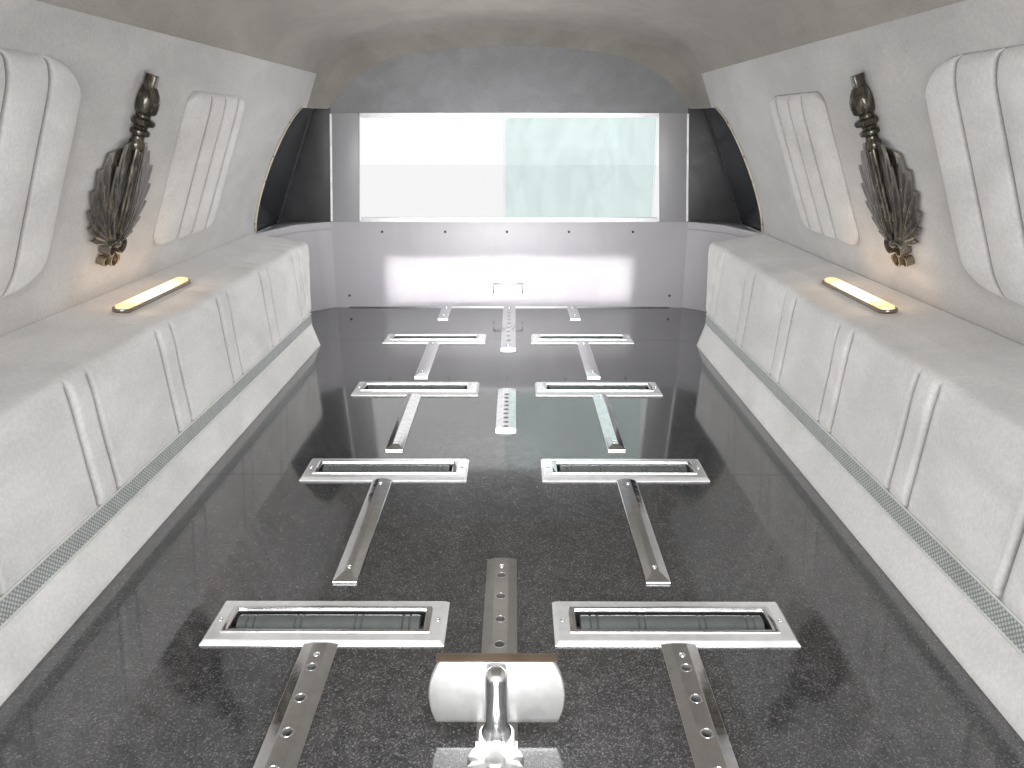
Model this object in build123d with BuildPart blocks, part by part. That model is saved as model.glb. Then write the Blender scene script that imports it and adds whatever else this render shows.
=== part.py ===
# Casket compartment of a hearse: the fitted load space behind the front seats.
#
# Frame: +X to the vehicle's right, +Y towards the front, +Z up, millimetres.
# The origin is on the ground under the middle of the floor frame. The deck is
# the black board that the casket rolls on, and most heights are given above it.

import os
from math import atan, cos, sin, radians, sqrt, degrees

from build123d import *

os.makedirs("parts", exist_ok=True)

# Driving dimensions of the space
deck_length = 2400          # rear edge of the deck to the partition
deck_thick = 20
sill_height = 50            # floor channels under the bearers
bearer_height = 40
board_thick = 18            # laminated partition boards
trim_depth = board_thick    # how far the rear trim stands behind the deck
wall_base_x = 760           # half width inside, where the walls start
wall_base_h = 302           # height above the deck of that line
wall_lean = 0.40            # how far the wall leans in for each unit of height
crease_h = 752              # where the wall meets the headliner
panel = 12                  # thickness of moulded wall and roof panels
frame_bar = 28              # depth of the body frame's posts and bows
frame_width = 30            # their width along the vehicle
rail_bar = 20               # depth of the lengthwise rails outside the posts
fit_gap = 0.3               # clearance between pieces that move or are soft

# Heights and ends that follow
deck_top = sill_height + bearer_height + deck_thick
deck_under = deck_top - deck_thick
rear = -deck_length / 2
front = deck_length / 2
lean_angle = atan(wall_lean)
normal_x = cos(lean_angle)
normal_z = sin(lean_angle)


def wall_x(height, out=0.0):
    """Half width at a height above the deck, for a face lying out beyond the lining."""
    return wall_base_x - (height - wall_base_h) * wall_lean + out / normal_x


def level(height):
    """Height above the ground of a height above the deck."""
    return deck_top + height


def across(y):
    """Sketch plane across the vehicle, drawn in X and Z."""
    return Plane(origin=(0, y, 0), x_dir=(1, 0, 0), z_dir=(0, -1, 0))


def along(x):
    """Sketch plane along the vehicle, drawn in Y and Z."""
    return Plane(origin=(x, 0, 0), x_dir=(0, 1, 0), z_dir=(1, 0, 0))


def save(part, name):
    part.label = name
    export_step(part, f"parts/{name}.step")


def save_pair(part, name):
    """Writes a right-hand piece and its mirror image as two nodes."""
    save(part, f"{name}_right")
    save(part.mirror(Plane.YZ), f"{name}_left")


def save_both(part, name):
    """Writes a right-hand piece and its mirror image as one node."""
    save(part + part.mirror(Plane.YZ), name)


# Roof section, as points (half width, height above the deck) of its inner face
crease = (wall_x(crease_h), crease_h)
roof_shoulder = (crease[0] - 37, crease_h + 60)
roof_corner = (crease[0] - 110, crease_h + 96)
roof_top_h = crease_h + 148
cove_start = front - 140    # where the roof starts to curl down to the partition
cove_middle = front - 55
arch_corner = (crease[0] - 80, crease_h - 10)
arch_end = (0.6 * crease[0], crease_h + 61)
arch_top_h = crease_h + 92
window_top_h = crease_h - 110
window_sill_h = wall_base_h - 7
post_high_x = crease[0] - 2     # outer edge of the partition's window posts, at the top
post_low_x = post_high_x + 22
post_width = 91
opening_low_x = post_low_x - post_width
opening_high_x = post_high_x - post_width


def grown(point, out, turn):
    """A section point moved out by a distance, along a direction turned up from +X."""
    return (point[0] + out * cos(radians(turn)), point[1] + out * sin(radians(turn)))


def roof_points(out):
    """Half of the roof's section, from the crease to the top, for a face lying out."""
    return [
        grown(crease, out, degrees(lean_angle)),
        grown(roof_shoulder, out, 48),
        grown(roof_corner, out, 74),
        (0, roof_top_h + out),
    ]


def draw_roof(out):
    """Draws the roof curve from the right-hand crease to the left-hand one."""
    start, shoulder, corner, top = roof_points(out)
    ThreePointArc(raised(start), raised(shoulder), raised(corner))
    ThreePointArc(raised(corner), raised(top), raised(corner, -1))
    ThreePointArc(raised(corner, -1), raised(shoulder, -1), raised(start, -1))


def raised(point, side=1):
    """A section point as sketch coordinates, on the right (1) or the left (-1)."""
    return (side * point[0], level(point[1]))


# Section of the benches, from the deck up to the ridge of the cover
bench_depth = 168           # from the wall's foot to the cover's ridge
ridge = (wall_base_x - bench_depth, wall_base_h - 23)
face_foot = (ridge[0] - 15, 84)
strip_low_h = 55
strip_high_h = 83
strip_x = face_foot[0] - 4
kick_foot_x = strip_x - 28

# Stations along the deck, rear to front
row_pitch = 460
row_count = 4
first_row = rear + 548      # rear edge of the first roller plates
plate_depth = 91
plate_length = 300
plate_x = 217.5             # middle of each plate from the centre line
row_edges = [first_row + row_pitch * n for n in range(row_count)]
row_middles = [edge + plate_depth / 2 for edge in row_edges]
row_sides = (-plate_x, plate_x)

# Floor frame: two channels carry the bearers, and the bearers carry the posts
sill_x = 450
sill_width = 45
sill_wall = 4
bolt_y = 900
bolt_r = 5.5
post_base_x = wall_x(wall_base_h, panel)
bearer_half = post_base_x + frame_bar
bearer_width = 50
bearer_ends = 30
mid_bearers = [middle + row_pitch / 2 for middle in row_middles]
rear_bearer_gap = 380
post_stations = [rear + bearer_ends, mid_bearers[0], mid_bearers[2], front - frame_width / 2]
bearer_stations = [
    rear + bearer_ends,
    rear + bearer_ends + rear_bearer_gap,
    *mid_bearers,
    front - bearer_width / 2,
]

with BuildPart() as floor_channels:
    for side in (-1, 1):
        with BuildSketch(across(rear)):
            with Locations((side * sill_x, sill_height / 2)):
                Rectangle(sill_width, sill_height)
            with Locations((side * (sill_x - sill_wall), sill_height / 2)):
                Rectangle(sill_width, sill_height - 2 * sill_wall, mode=Mode.SUBTRACT)
        extrude(amount=-deck_length)
    with Locations((0, 0, 0)):
        with GridLocations(2 * sill_x, 2 * bolt_y, 2, 2):
            Cylinder(bolt_r, 3 * sill_wall, mode=Mode.SUBTRACT)
save(floor_channels.part, "floor_channels")

with BuildPart() as floor_bearers:
    for y in bearer_stations:
        with Locations((0, y, sill_height + bearer_height / 2)):
            Box(2 * bearer_half, bearer_width, bearer_height)
save(floor_bearers.part, "floor_bearers")

# Body frame: upright posts, leaning posts, roof bows and lengthwise rails
post_top = wall_base_h

post_x = post_base_x + frame_bar / 2
post_length = level(post_top) - deck_under
with BuildPart() as upright_posts:
    for y in post_stations:
        for side in (-1, 1):
            with Locations((side * post_x, y, deck_under + post_length / 2)):
                Box(frame_bar, frame_width, post_length)
save(upright_posts.part, "upright_posts")

knee_h = wall_base_h + 12   # height where a post's outer face starts to lean
lean_foot = (wall_x(wall_base_h, panel), wall_base_h)
lean_foot_out = (post_base_x + frame_bar, wall_base_h)
lean_turn = degrees(lean_angle)
with BuildPart() as leaning_posts:
    for y in post_stations:
        with BuildSketch(across(y - frame_width / 2)):
            for side in (-1, 1):
                with BuildLine():
                    Polyline(
                        raised(lean_foot, side),
                        raised(lean_foot_out, side),
                        raised((wall_x(knee_h, panel + frame_bar), knee_h), side),
                        raised(grown(crease, panel + frame_bar, lean_turn), side),
                        raised(grown(crease, panel, lean_turn), side),
                        close=True,
                    )
                make_face()
        extrude(amount=-frame_width)
save(leaning_posts.part, "leaning_posts")

with BuildPart() as roof_bows:
    for y in post_stations:
        with BuildSketch(across(y - frame_width / 2)):
            with BuildLine():
                draw_roof(panel)
                draw_roof(panel + frame_bar)
                for side in (-1, 1):
                    Line(
                        raised(roof_points(panel)[0], side),
                        raised(roof_points(panel + frame_bar)[0], side),
                    )
            make_face()
        extrude(amount=-frame_width)
save(roof_bows.part, "roof_bows")

rail_start = post_stations[0] - frame_width / 2
rail_length = post_stations[-1] + frame_width / 2 - rail_start
waist_h = 262
waist_height = 40
stringer_width = 40
stringer_height = 14
cant_low_h = crease_h - 70  # rail under the roof's edge, outside the leaning posts
cant_high_h = crease_h - 30
cant_low = (wall_x(cant_low_h, panel + frame_bar), cant_low_h)
cant_high = (wall_x(cant_high_h, panel + frame_bar), cant_high_h)
rail_middle = rail_start + rail_length / 2
stringer_level = level(roof_top_h + panel + frame_bar) + stringer_height / 2
with BuildPart() as side_rails:
    for side in (-1, 1):
        with Locations((side * (bearer_half + rail_bar / 2), rail_middle, level(waist_h))):
            Box(rail_bar, rail_length, waist_height)
        with BuildSketch(across(rail_start)):
            with BuildLine():
                Polyline(
                    raised(cant_low, side),
                    raised(grown(cant_low, rail_bar, lean_turn), side),
                    raised(grown(cant_high, rail_bar, lean_turn), side),
                    raised(cant_high, side),
                    close=True,
                )
            make_face()
        extrude(amount=-rail_length)
    with Locations((0, rail_middle, stringer_level)):
        Box(stringer_width, rail_length, stringer_height)
save(side_rails.part, "side_rails")

# Deck: three boards, joined under the second and fourth rows of rollers
deck_joins = [rear, row_edges[1] + 31, row_edges[3] + 40, front]
deck_half = post_base_x - fit_gap
board_names = ["deck_board_rear", "deck_board_middle", "deck_board_front"]

# Roller set: plate, tray, roller and its two stub shafts
plate_thick = 7
plate_chamfer = 5
roller_r = 18.5
roller_rise = 3.5           # how far the roller stands above its plate
roller_length = 232
roller_clear = 6            # free space around the roller in its tray
axle_h = plate_thick + roller_rise - roller_r
tray_wall = 2
tray_end = 6
tray_length = roller_length + 2 * roller_clear + 2 * tray_end
tray_width = 2 * (roller_r + roller_clear + tray_wall)
tray_depth = roller_r - axle_h + roller_clear + tray_wall
slot_length = roller_length + 2 * roller_clear
slot_width = 2 * roller_r + 3
lip_thick = 2
pocket_length = tray_length - tray_end
pocket_width = tray_width - tray_wall
shaft_r = 4
shaft_gap = 0.06
notch_width = 2 * (shaft_r + shaft_gap)
notch_depth = shaft_r + shaft_gap - axle_h      # down from the tray's rim
tray_play = 0.5             # gap between the tray and the cut in the deck

# Pin rails: a bevelled bar with a tongue let into the deck
rail_width = 43
rail_flat = 19
rail_height = 7
bar_edge = 1.5              # low upright edge of the rails and skid bars
tongue_width = 22
tongue_depth = 18
hole_r = 5.75
hole_pitch = 50.8
hole_sides = 12
hole_margin = 44.5          # first hole from the rail's front end
stop_hole = 6               # hole that the stop's post stands in, counted from the front
rail_end = rear + 60
side_rail_front = first_row - fit_gap
centre_rail_front = rear + 742
middle_rail = (rear + 1250, rear + 1507)
front_rail = (rear + 1865, front - 8)
centre_rear_rail = (0, rail_end, centre_rail_front, hole_pitch)
pin_rails = [
    # x, rear end, front end, hole pitch
    (-plate_x, rail_end, side_rail_front, hole_pitch),
    (plate_x, rail_end, side_rail_front, hole_pitch),
    centre_rear_rail,
    (0, *middle_rail, hole_pitch / 2),
    (0, *front_rail, hole_pitch),
]

plate_spots = [(x, y) for x in row_sides for y in row_middles]
for board_name, start, end in zip(board_names, deck_joins[:-1], deck_joins[1:]):
    with BuildPart() as deck_board:
        with Locations((0, (start + end) / 2, level(-deck_thick / 2))):
            Box(2 * deck_half, end - start, deck_thick)
        with Locations(*[(x, y, level(-deck_thick / 2)) for x, y in plate_spots]):
            Box(tray_length + 2 * tray_play, tray_width + 2 * tray_play, 2 * deck_thick, mode=Mode.SUBTRACT)
        for x, low, high, pitch in pin_rails:
            with Locations((x, (low + high) / 2, level(-tongue_depth / 2))):
                Box(tongue_width + 2 * fit_gap, high - low, tongue_depth + 2 * fit_gap, mode=Mode.SUBTRACT)
    save(deck_board.part, board_name)

with BuildPart() as roller_plates:
    with BuildSketch(Plane.XY.offset(deck_top)):
        with Locations(*plate_spots):
            Rectangle(plate_length, plate_depth)
    extrude(amount=plate_thick)
    chamfer(roller_plates.faces().group_by(Axis.Z)[-1].edges(), plate_chamfer)
    with Locations(*[(x, y, level((plate_thick - lip_thick) / 2)) for x, y in plate_spots]):
        Box(pocket_length, pocket_width, plate_thick - lip_thick, mode=Mode.SUBTRACT)
    with Locations(*[(x, y, level(plate_thick)) for x, y in plate_spots]):
        Box(slot_length, slot_width, 4 * lip_thick, mode=Mode.SUBTRACT)
save(roller_plates.part, "roller_plates")

with BuildPart() as roller_trays:
    with Locations(*[(x, y, level(-tray_depth / 2)) for x, y in plate_spots]):
        Box(tray_length, tray_width, tray_depth)
    with Locations(*[(x, y, level(-tray_depth / 2 + tray_wall / 2)) for x, y in plate_spots]):
        Box(
            tray_length - 2 * tray_end,
            tray_width - 2 * tray_wall,
            tray_depth - tray_wall,
            mode=Mode.SUBTRACT,
        )
    with Locations(*[(x, y, level(-notch_depth / 2)) for x, y in plate_spots]):
        Box(tray_length + 2, notch_width, notch_depth, mode=Mode.SUBTRACT)
save(roller_trays.part, "roller_trays")

for side_name, x in (("left", -plate_x), ("right", plate_x)):
    for row, y in enumerate(row_middles, start=1):
        with BuildPart() as roller:
            with Locations((x, y, level(axle_h))):
                Cylinder(roller_r, roller_length, rotation=(0, 90, 0))
                Cylinder(shaft_r, tray_length - 2, rotation=(0, 90, 0))
        save(roller.part, f"roller_{side_name}_{row}")


def make_pin_rail(x, low, high, pitch, round_holes=()):
    """Bevelled bar with a tongue below and a row of pin holes from its front end.

    Holes that take a pin here are round, and the rest have hole_sides sides.
    """
    with BuildPart() as pin_rail:
        with BuildSketch(across(low)):
            with BuildLine():
                bar_outline(x, rail_width, rail_flat, rail_height)
            make_face()
            with Locations((x, level(-tongue_depth / 2))):
                Rectangle(tongue_width, tongue_depth)
        extrude(amount=-(high - low))
        count = int((high - low - 1.2 * hole_margin) // pitch) + 1
        holes = [(x, high - hole_margin - pitch * n) for n in range(count)]
        with BuildSketch(Plane.XY.offset(level(-tongue_depth))):
            with Locations(*[holes[n] for n in range(count) if n not in round_holes]):
                RegularPolygon(min(hole_r, pitch / 5), hole_sides)
            for n in round_holes:
                with Locations(holes[n]):
                    Circle(hole_r)
        extrude(amount=tongue_depth + rail_height, mode=Mode.SUBTRACT)
    return pin_rail.part


def bar_outline(x, width, flat, height):
    """Section of a bar with bevelled sides and a low upright edge."""
    Polyline(
        (x - width / 2, level(0)),
        (x + width / 2, level(0)),
        (x + width / 2, level(bar_edge)),
        (x + flat / 2, level(height)),
        (x - flat / 2, level(height)),
        (x - width / 2, level(bar_edge)),
        close=True,
    )


save(make_pin_rail(*centre_rear_rail, round_holes=(0, stop_hole, stop_hole + 1)), "pin_rail_centre_rear")
rail_solids = [make_pin_rail(*rail) for rail in pin_rails if rail is not centre_rear_rail]
with BuildPart() as other_rails:
    add(rail_solids)
save(other_rails.part, "pin_rails")

# Skid bars between the rows, with hipped rear ends
skid_width = 35
skid_flat = 12
skid_height = 7
skid_hip = 22
skid_gap = 45               # from the plate behind to the bar's rear end
skid_spans = [(row_edges[n] + plate_depth + skid_gap, row_edges[n + 1] - fit_gap) for n in range(3)]
skid_spans.append((rear + 2223, front - 8))


def make_skid_bar(x, low, high):
    """Bevelled bar whose rear end is cut down to a hip."""
    with BuildPart() as bar:
        with BuildSketch(across(low)):
            with BuildLine():
                bar_outline(x, skid_width, skid_flat, skid_height)
            make_face()
        extrude(amount=-(high - low))
        with BuildSketch(along(x)):
            with BuildLine():
                Polyline(
                    (low - 1, level(bar_edge)),
                    (low, level(bar_edge)),
                    (low + skid_hip, level(skid_height + 0.01)),
                    (low + skid_hip, level(skid_height + 1)),
                    (low - 1, level(skid_height + 1)),
                    close=True,
                )
            make_face()
        extrude(amount=skid_width, both=True, mode=Mode.SUBTRACT)
    return bar.part


skid_solids = [make_skid_bar(x, low, high) for x in row_sides for low, high in skid_spans]
with BuildPart() as skid_bars:
    add(skid_solids)
save(skid_bars.part, "skid_bars")

# Rear sill plate over the deck's rear edge
sill_plate_depth = 50
sill_plate_thick = 2
sill_plate_drop = 60        # how far it hangs down behind the deck
with BuildPart() as rear_sill_plate:
    with BuildSketch(along(0)):
        with BuildLine():
            Polyline(
                (rear - trim_depth, level(sill_plate_thick)),
                (rear + sill_plate_depth, level(sill_plate_thick)),
                (rear + sill_plate_depth, level(0)),
                (rear, level(0)),
                (rear, level(-sill_plate_drop)),
                (rear - trim_depth, level(-sill_plate_drop)),
                close=True,
            )
        make_face()
    extrude(amount=kick_foot_x, both=True)
    fillet(rear_sill_plate.edges().filter_by(Axis.X).group_by(Axis.Y)[0].group_by(Axis.Z)[-1], 1.5)
save(rear_sill_plate.part, "rear_sill_plate")

# Casket stop: it stands in two holes of the centre rail and lifts out
post_y = centre_rail_front - hole_margin - hole_pitch * stop_hole
knob_y = post_y - hole_pitch
post_r = 12.5
stop_pin_r = hole_r - 0.1
foot_width = 38
foot_thick = 8
foot_h = rail_height + fit_gap
stop_plate_low = 16
stop_plate_high = 92
stop_plate_thick = 6
stop_low_half = 63          # half widths of the plate at its foot, its widest and its top
stop_bow_half = 70
stop_high_half = 57
stop_bow_h = 52
pad_thick = 6
pad_margin = 4              # how far the pad stays inside the plate's outline
knob_r = 28.5
knob_height = 13
knob_flutes = 6
flute_r = 7
flute_ring_r = knob_r + 3   # circle that the flutes' centres lie on
knob_button_r = 9
knob_button_rise = 4

with BuildPart() as stop_base:
    with BuildSketch(Plane.XY.offset(level(foot_h))):
        with Locations((0, (post_y + knob_y) / 2)):
            SlotCenterToCenter(hole_pitch, foot_width, rotation=90)
    extrude(amount=foot_thick)
    with BuildSketch(Plane.XY.offset(level(foot_h + foot_thick))):
        with Locations((0, post_y)):
            Circle(post_r)
    extrude(amount=stop_plate_high + 2 - foot_h - foot_thick)
    chamfer(stop_base.faces().sort_by(Axis.Z)[-1].edges(), 4)
    with BuildSketch(Plane.XY.offset(level(foot_h))):
        with Locations((0, post_y), (0, knob_y)):
            Circle(stop_pin_r)
    extrude(amount=-(foot_h + tongue_depth - 3))
save(stop_base.part, "stop_base")

with BuildPart() as stop_knob:
    with BuildSketch(Plane.XY.offset(level(foot_h + foot_thick))):
        with Locations((0, knob_y)):
            Circle(knob_r)
            with PolarLocations(flute_ring_r, knob_flutes):
                Circle(flute_r, mode=Mode.SUBTRACT)
    extrude(amount=knob_height)
    with BuildSketch(Plane.XY.offset(level(foot_h + foot_thick + knob_height))):
        with Locations((0, knob_y)):
            Circle(knob_button_r)
    extrude(amount=knob_button_rise)
save(stop_knob.part, "stop_knob")


def stop_outline():
    """Outline of the stop's plate, with its bowed sides."""
    for side in (-1, 1):
        ThreePointArc(
            raised((stop_low_half, stop_plate_low), side),
            raised((stop_bow_half, stop_bow_h), side),
            raised((stop_high_half, stop_plate_high), side),
        )
    Line((-stop_high_half, level(stop_plate_high)), (stop_high_half, level(stop_plate_high)))
    Line((-stop_low_half, level(stop_plate_low)), (stop_low_half, level(stop_plate_low)))


plate_y = post_y + post_r
with BuildPart() as stop_plate:
    with BuildSketch(across(plate_y)):
        with BuildLine():
            stop_outline()
        make_face()
    extrude(amount=-stop_plate_thick)
save(stop_plate.part, "stop_plate")

with BuildPart() as stop_pad:
    with BuildSketch(across(plate_y + stop_plate_thick)):
        with BuildLine():
            stop_outline()
        make_face()
        offset(amount=-pad_margin, mode=Mode.REPLACE)
    extrude(amount=-pad_thick)
    chamfer(stop_pad.faces().sort_by(Axis.Y)[-1].edges(), 1.5)
save(stop_pad.part, "stop_pad")

# Side benches: a board box, an upholstered cover, and a metal strip
bench_foot_end = front - 488
bench_top_end = front - 338
bench_length = bench_top_end - rear
cover_thick = 16
board = 12                  # thickness of the bench boards
bench_back_x = wall_base_x - fit_gap
seam_pitch = 280
seam_pair = 56
first_seam = rear + 191
seam_count = int((bench_foot_end - first_seam) // seam_pitch) + 1
seam_depth = 5
seam_width = 5
box_face_x = ridge[0] + cover_thick + 2
box_top_h = ridge[1] - cover_thick + 8


def front_of_bench():
    """Space ahead of the leaning plane that ends a bench, as a solid to take away."""
    with BuildPart() as space:
        with BuildSketch(along(0)):
            with BuildLine():
                Polyline(
                    (bench_foot_end, level(-5)),
                    (bench_foot_end, level(0)),
                    (bench_top_end, level(wall_base_h)),
                    (front, level(wall_base_h)),
                    (front, level(-5)),
                    close=True,
                )
            make_face()
        extrude(amount=2 * wall_base_x)
    return space.part


with BuildPart() as bench_box:
    with BuildSketch(across(rear)):
        with BuildLine():
            Polyline(
                (kick_foot_x, level(0)),
                (wall_base_x, level(0)),
                (wall_base_x, level(box_top_h)),
                (box_face_x, level(box_top_h)),
                (face_foot[0] + cover_thick, level(strip_high_h)),
                (face_foot[0], level(strip_high_h)),
                (strip_x + 2, level(strip_low_h)),
                (strip_x, level(strip_low_h)),
                close=True,
            )
        make_face()
    extrude(amount=-bench_length)
    with BuildSketch(across(rear + board)):
        with BuildLine():
            Polyline(
                (kick_foot_x + 2 * board, level(-1)),
                (wall_base_x - board, level(-1)),
                (wall_base_x - board, level(box_top_h - board)),
                (box_face_x + board, level(box_top_h - board)),
                (face_foot[0] + cover_thick + board, level(strip_high_h)),
                (strip_x + board, level(strip_low_h)),
                close=True,
            )
        make_face()
    extrude(amount=-(bench_foot_end - rear - 2 * board), mode=Mode.SUBTRACT)
    add(front_of_bench(), mode=Mode.SUBTRACT)
save_pair(bench_box.part, "bench_box")

seam_starts = [first_seam + seam_pitch * n for n in range(seam_count)]
seams = [y for start in seam_starts for y in (start, start + seam_pair)]
lamp_length = 290
lamp_width = 34
bezel_width = 5
lamp_x = wall_base_x - bench_depth / 2
lamp_y = rear + 1220
bench_top_h = wall_base_h - 1
with BuildPart() as bench_cover:
    with BuildSketch(across(rear)):
        with BuildLine():
            Polyline(
                (face_foot[0], level(strip_high_h)),
                (face_foot[0] + cover_thick - fit_gap, level(strip_high_h)),
                (box_face_x - fit_gap, level(box_top_h + fit_gap)),
                (bench_back_x, level(box_top_h + fit_gap)),
                (bench_back_x, level(bench_top_h)),
                (ridge[0] + 8, level(ridge[1] + 4)),
                (ridge[0] - 4, level(ridge[1] - 14)),
                close=True,
            )
        cover_face = make_face()
        fillet(cover_face.vertices().sort_by(Axis.X)[:3].sort_by(Axis.Z)[-2:], 9)
    extrude(amount=-bench_length)
    for y in seams:
        with BuildSketch(across(y - seam_width / 2)):
            with BuildLine():
                Polyline(
                    (face_foot[0] - 8, level(strip_high_h + 4)),
                    (face_foot[0] + seam_depth, level(strip_high_h + 4)),
                    (ridge[0] - 1, level(ridge[1] - 20)),
                    (ridge[0] - 12, level(ridge[1] - 12)),
                    close=True,
                )
            make_face()
        extrude(amount=-seam_width, mode=Mode.SUBTRACT)
    add(front_of_bench(), mode=Mode.SUBTRACT)
save_pair(bench_cover.part, "bench_cover")

with BuildPart() as bench_strip:
    with BuildSketch(across(rear)):
        with BuildLine():
            Polyline(
                (strip_x, level(strip_low_h)),
                (strip_x + 2, level(strip_low_h)),
                (face_foot[0], level(strip_high_h)),
                (face_foot[0] - 2, level(strip_high_h)),
                close=True,
            )
        make_face()
    extrude(amount=-bench_length)
    add(front_of_bench(), mode=Mode.SUBTRACT)
save_both(bench_strip.part, "bench_strips")

# Bench lamps, let into the top of each cover
lamp_tilt = degrees(atan((bench_top_h - ridge[1] - 4) / (bench_back_x - ridge[0] - 8)))
lamp_base_h = bench_top_h - (bench_back_x - lamp_x) * sin(radians(lamp_tilt))
lamp_corner = lamp_width / 2 - 1
lens_inset = bezel_width + fit_gap
bezel_rise = 7
lens_rise = 11


def lamp_plane(side):
    """Plane on the bench top at a lamp, tilted with the cover."""
    return Plane(
        origin=(side * lamp_x, lamp_y, level(lamp_base_h)),
        x_dir=(0, 1, 0),
        z_dir=(-side * sin(radians(lamp_tilt)), 0, cos(radians(lamp_tilt))),
    )


with BuildPart() as lamp_bezels:
    for side in (-1, 1):
        with BuildSketch(lamp_plane(side)):
            RectangleRounded(lamp_length, lamp_width, lamp_corner)
            RectangleRounded(
                lamp_length - 2 * bezel_width,
                lamp_width - 2 * bezel_width,
                lamp_corner - bezel_width,
                mode=Mode.SUBTRACT,
            )
        extrude(amount=bezel_rise)
save(lamp_bezels.part, "lamp_bezels")

with BuildPart() as lamp_lenses:
    for side in (-1, 1):
        with BuildSketch(lamp_plane(side)):
            RectangleRounded(
                lamp_length - 2 * lens_inset,
                lamp_width - 2 * lens_inset,
                lamp_corner - lens_inset,
            )
        extrude(amount=lens_rise)
save(lamp_lenses.part, "lamp_lenses")

# Window aperture at the front of each wall, seen from the side
aperture_foot = (front - 297, window_sill_h + 1)
aperture_rear = (front - 364, window_sill_h + 135)
aperture_top = (front - 190, crease_h - 97)


def tangent_radius(tip, end):
    """Radius of the arc that leaves tip upright and ends at end."""
    run = end[0] - tip[0]
    rise = end[1] - tip[1]
    return (run * run + rise * rise) / (2 * run)


def on_arc(tip, radius, rise):
    """Point at a rise above tip, on the arc that is upright at tip."""
    return (tip[0] + radius - sqrt(radius * radius - rise * rise), tip[1] + rise)


lower_radius = tangent_radius(aperture_rear, aperture_foot)
upper_radius = tangent_radius(aperture_rear, aperture_top)
lower_mid = on_arc(aperture_rear, lower_radius, (aperture_foot[1] - aperture_rear[1]) / 2)
upper_mid = on_arc(aperture_rear, upper_radius, (aperture_top[1] - aperture_rear[1]) / 2)


def side_point(point, shift=0.0):
    """A point of the side view as sketch coordinates, moved rearwards by shift."""
    return (point[0] - shift, level(point[1]))


def draw_aperture(shift=0.0, far=front + 60):
    """Draws the window aperture's closed outline."""
    ThreePointArc(
        side_point(aperture_foot, shift), side_point(lower_mid, shift), side_point(aperture_rear, shift)
    )
    ThreePointArc(
        side_point(aperture_rear, shift), side_point(upper_mid, shift), side_point(aperture_top, shift)
    )
    Polyline(
        side_point(aperture_top, shift),
        (far, level(aperture_top[1])),
        (far, level(aperture_foot[1])),
        side_point(aperture_foot, shift),
    )


# Side walls: a leaning panel from the bench to the crease
wall_foot_h = box_top_h
with BuildPart() as wall_panel:
    with BuildSketch(across(rear)):
        with BuildLine():
            Polyline(
                (wall_base_x, level(wall_foot_h)),
                (wall_base_x, level(wall_base_h)),
                raised(crease),
                raised(grown(crease, panel, degrees(lean_angle))),
                (wall_x(wall_base_h, panel), level(wall_base_h)),
                (wall_x(wall_base_h, panel), level(wall_foot_h)),
                close=True,
            )
        make_face()
    extrude(amount=-(cove_start - rear))
    with BuildSketch(along(0)):
        with BuildLine():
            draw_aperture()
        make_face()
    extrude(amount=2 * wall_base_x, mode=Mode.SUBTRACT)
save_both(wall_panel.part, "wall_panels")

arch_trim_width = 12
arch_trim_thick = 4
trim_start = aperture_rear[0] - 2 * arch_trim_width
with BuildPart() as arch_trim:
    with BuildSketch(across(trim_start)):
        with BuildLine():
            Polyline(
                raised((wall_x(wall_base_h, -arch_trim_thick), wall_base_h)),
                raised((wall_x(wall_base_h), wall_base_h)),
                raised((wall_x(aperture_top[1]), aperture_top[1])),
                raised((wall_x(aperture_top[1], -arch_trim_thick), aperture_top[1])),
                close=True,
            )
        make_face()
    extrude(amount=trim_start - front)
    with BuildSketch(along(0)):
        with BuildLine():
            draw_aperture(arch_trim_width)
        make_face()
        with BuildLine():
            draw_aperture()
        make_face(mode=Mode.SUBTRACT)
    extrude(amount=2 * wall_base_x, mode=Mode.INTERSECT)
save_both(arch_trim.part, "arch_trims")

# Fluted wall pads: rows of crowned channels cut to a rounded outline
pad_base = 6
pad_crown = 10
pad_inset = 2               # how much the end channels are cut short
pads = [
    # rear end, channel widths from the front, low and high edge above the deck, corner radius
    (rear + 320, [92] * 7, wall_base_h + 64, crease_h - 60, 84),
    (rear + 1353, [53, 78, 79, 112], wall_base_h + 64, crease_h - 84, 34),
]


def wall_plane(y, height):
    """Plane on the right-hand wall's face: local x rearwards, local y up the slope."""
    return Plane(
        origin=(wall_x(height) - fit_gap / normal_x, y, level(height)),
        x_dir=(0, -1, 0),
        z_dir=(-normal_x, 0, -normal_z),
    )


def make_pad(start, channels, low_h, high_h, corner):
    """One fluted pad on the right-hand wall."""
    length = sum(channels)
    height = (high_h - low_h) / normal_x
    middle = wall_plane(start + length / 2, (low_h + high_h) / 2)
    ends = Plane(
        origin=middle.from_local_coords((-length / 2, -height / 2 - 1, 0)),
        x_dir=(0, -1, 0),
        z_dir=middle.y_dir,
    )
    with BuildPart() as pad:
        with BuildSketch(middle):
            RectangleRounded(length - 2 * pad_inset, height, corner)
        extrude(amount=pad_base + pad_crown)
        with BuildSketch(ends):
            with BuildLine():
                place = 0
                for width in channels:
                    ThreePointArc(
                        (place, -pad_base),
                        (place + width / 2, -pad_base - pad_crown),
                        (place + width, -pad_base),
                    )
                    place += width
                Polyline((length, -pad_base), (length, 1), (0, 1), (0, -pad_base))
            make_face()
        extrude(amount=height + 2, mode=Mode.INTERSECT)
    return pad.part


pad_solids = [make_pad(*pad) for pad in pads]
with BuildPart() as wall_pads:
    add(pad_solids)
    mirror(about=Plane.YZ)
save(wall_pads.part, "wall_pads")

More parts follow.
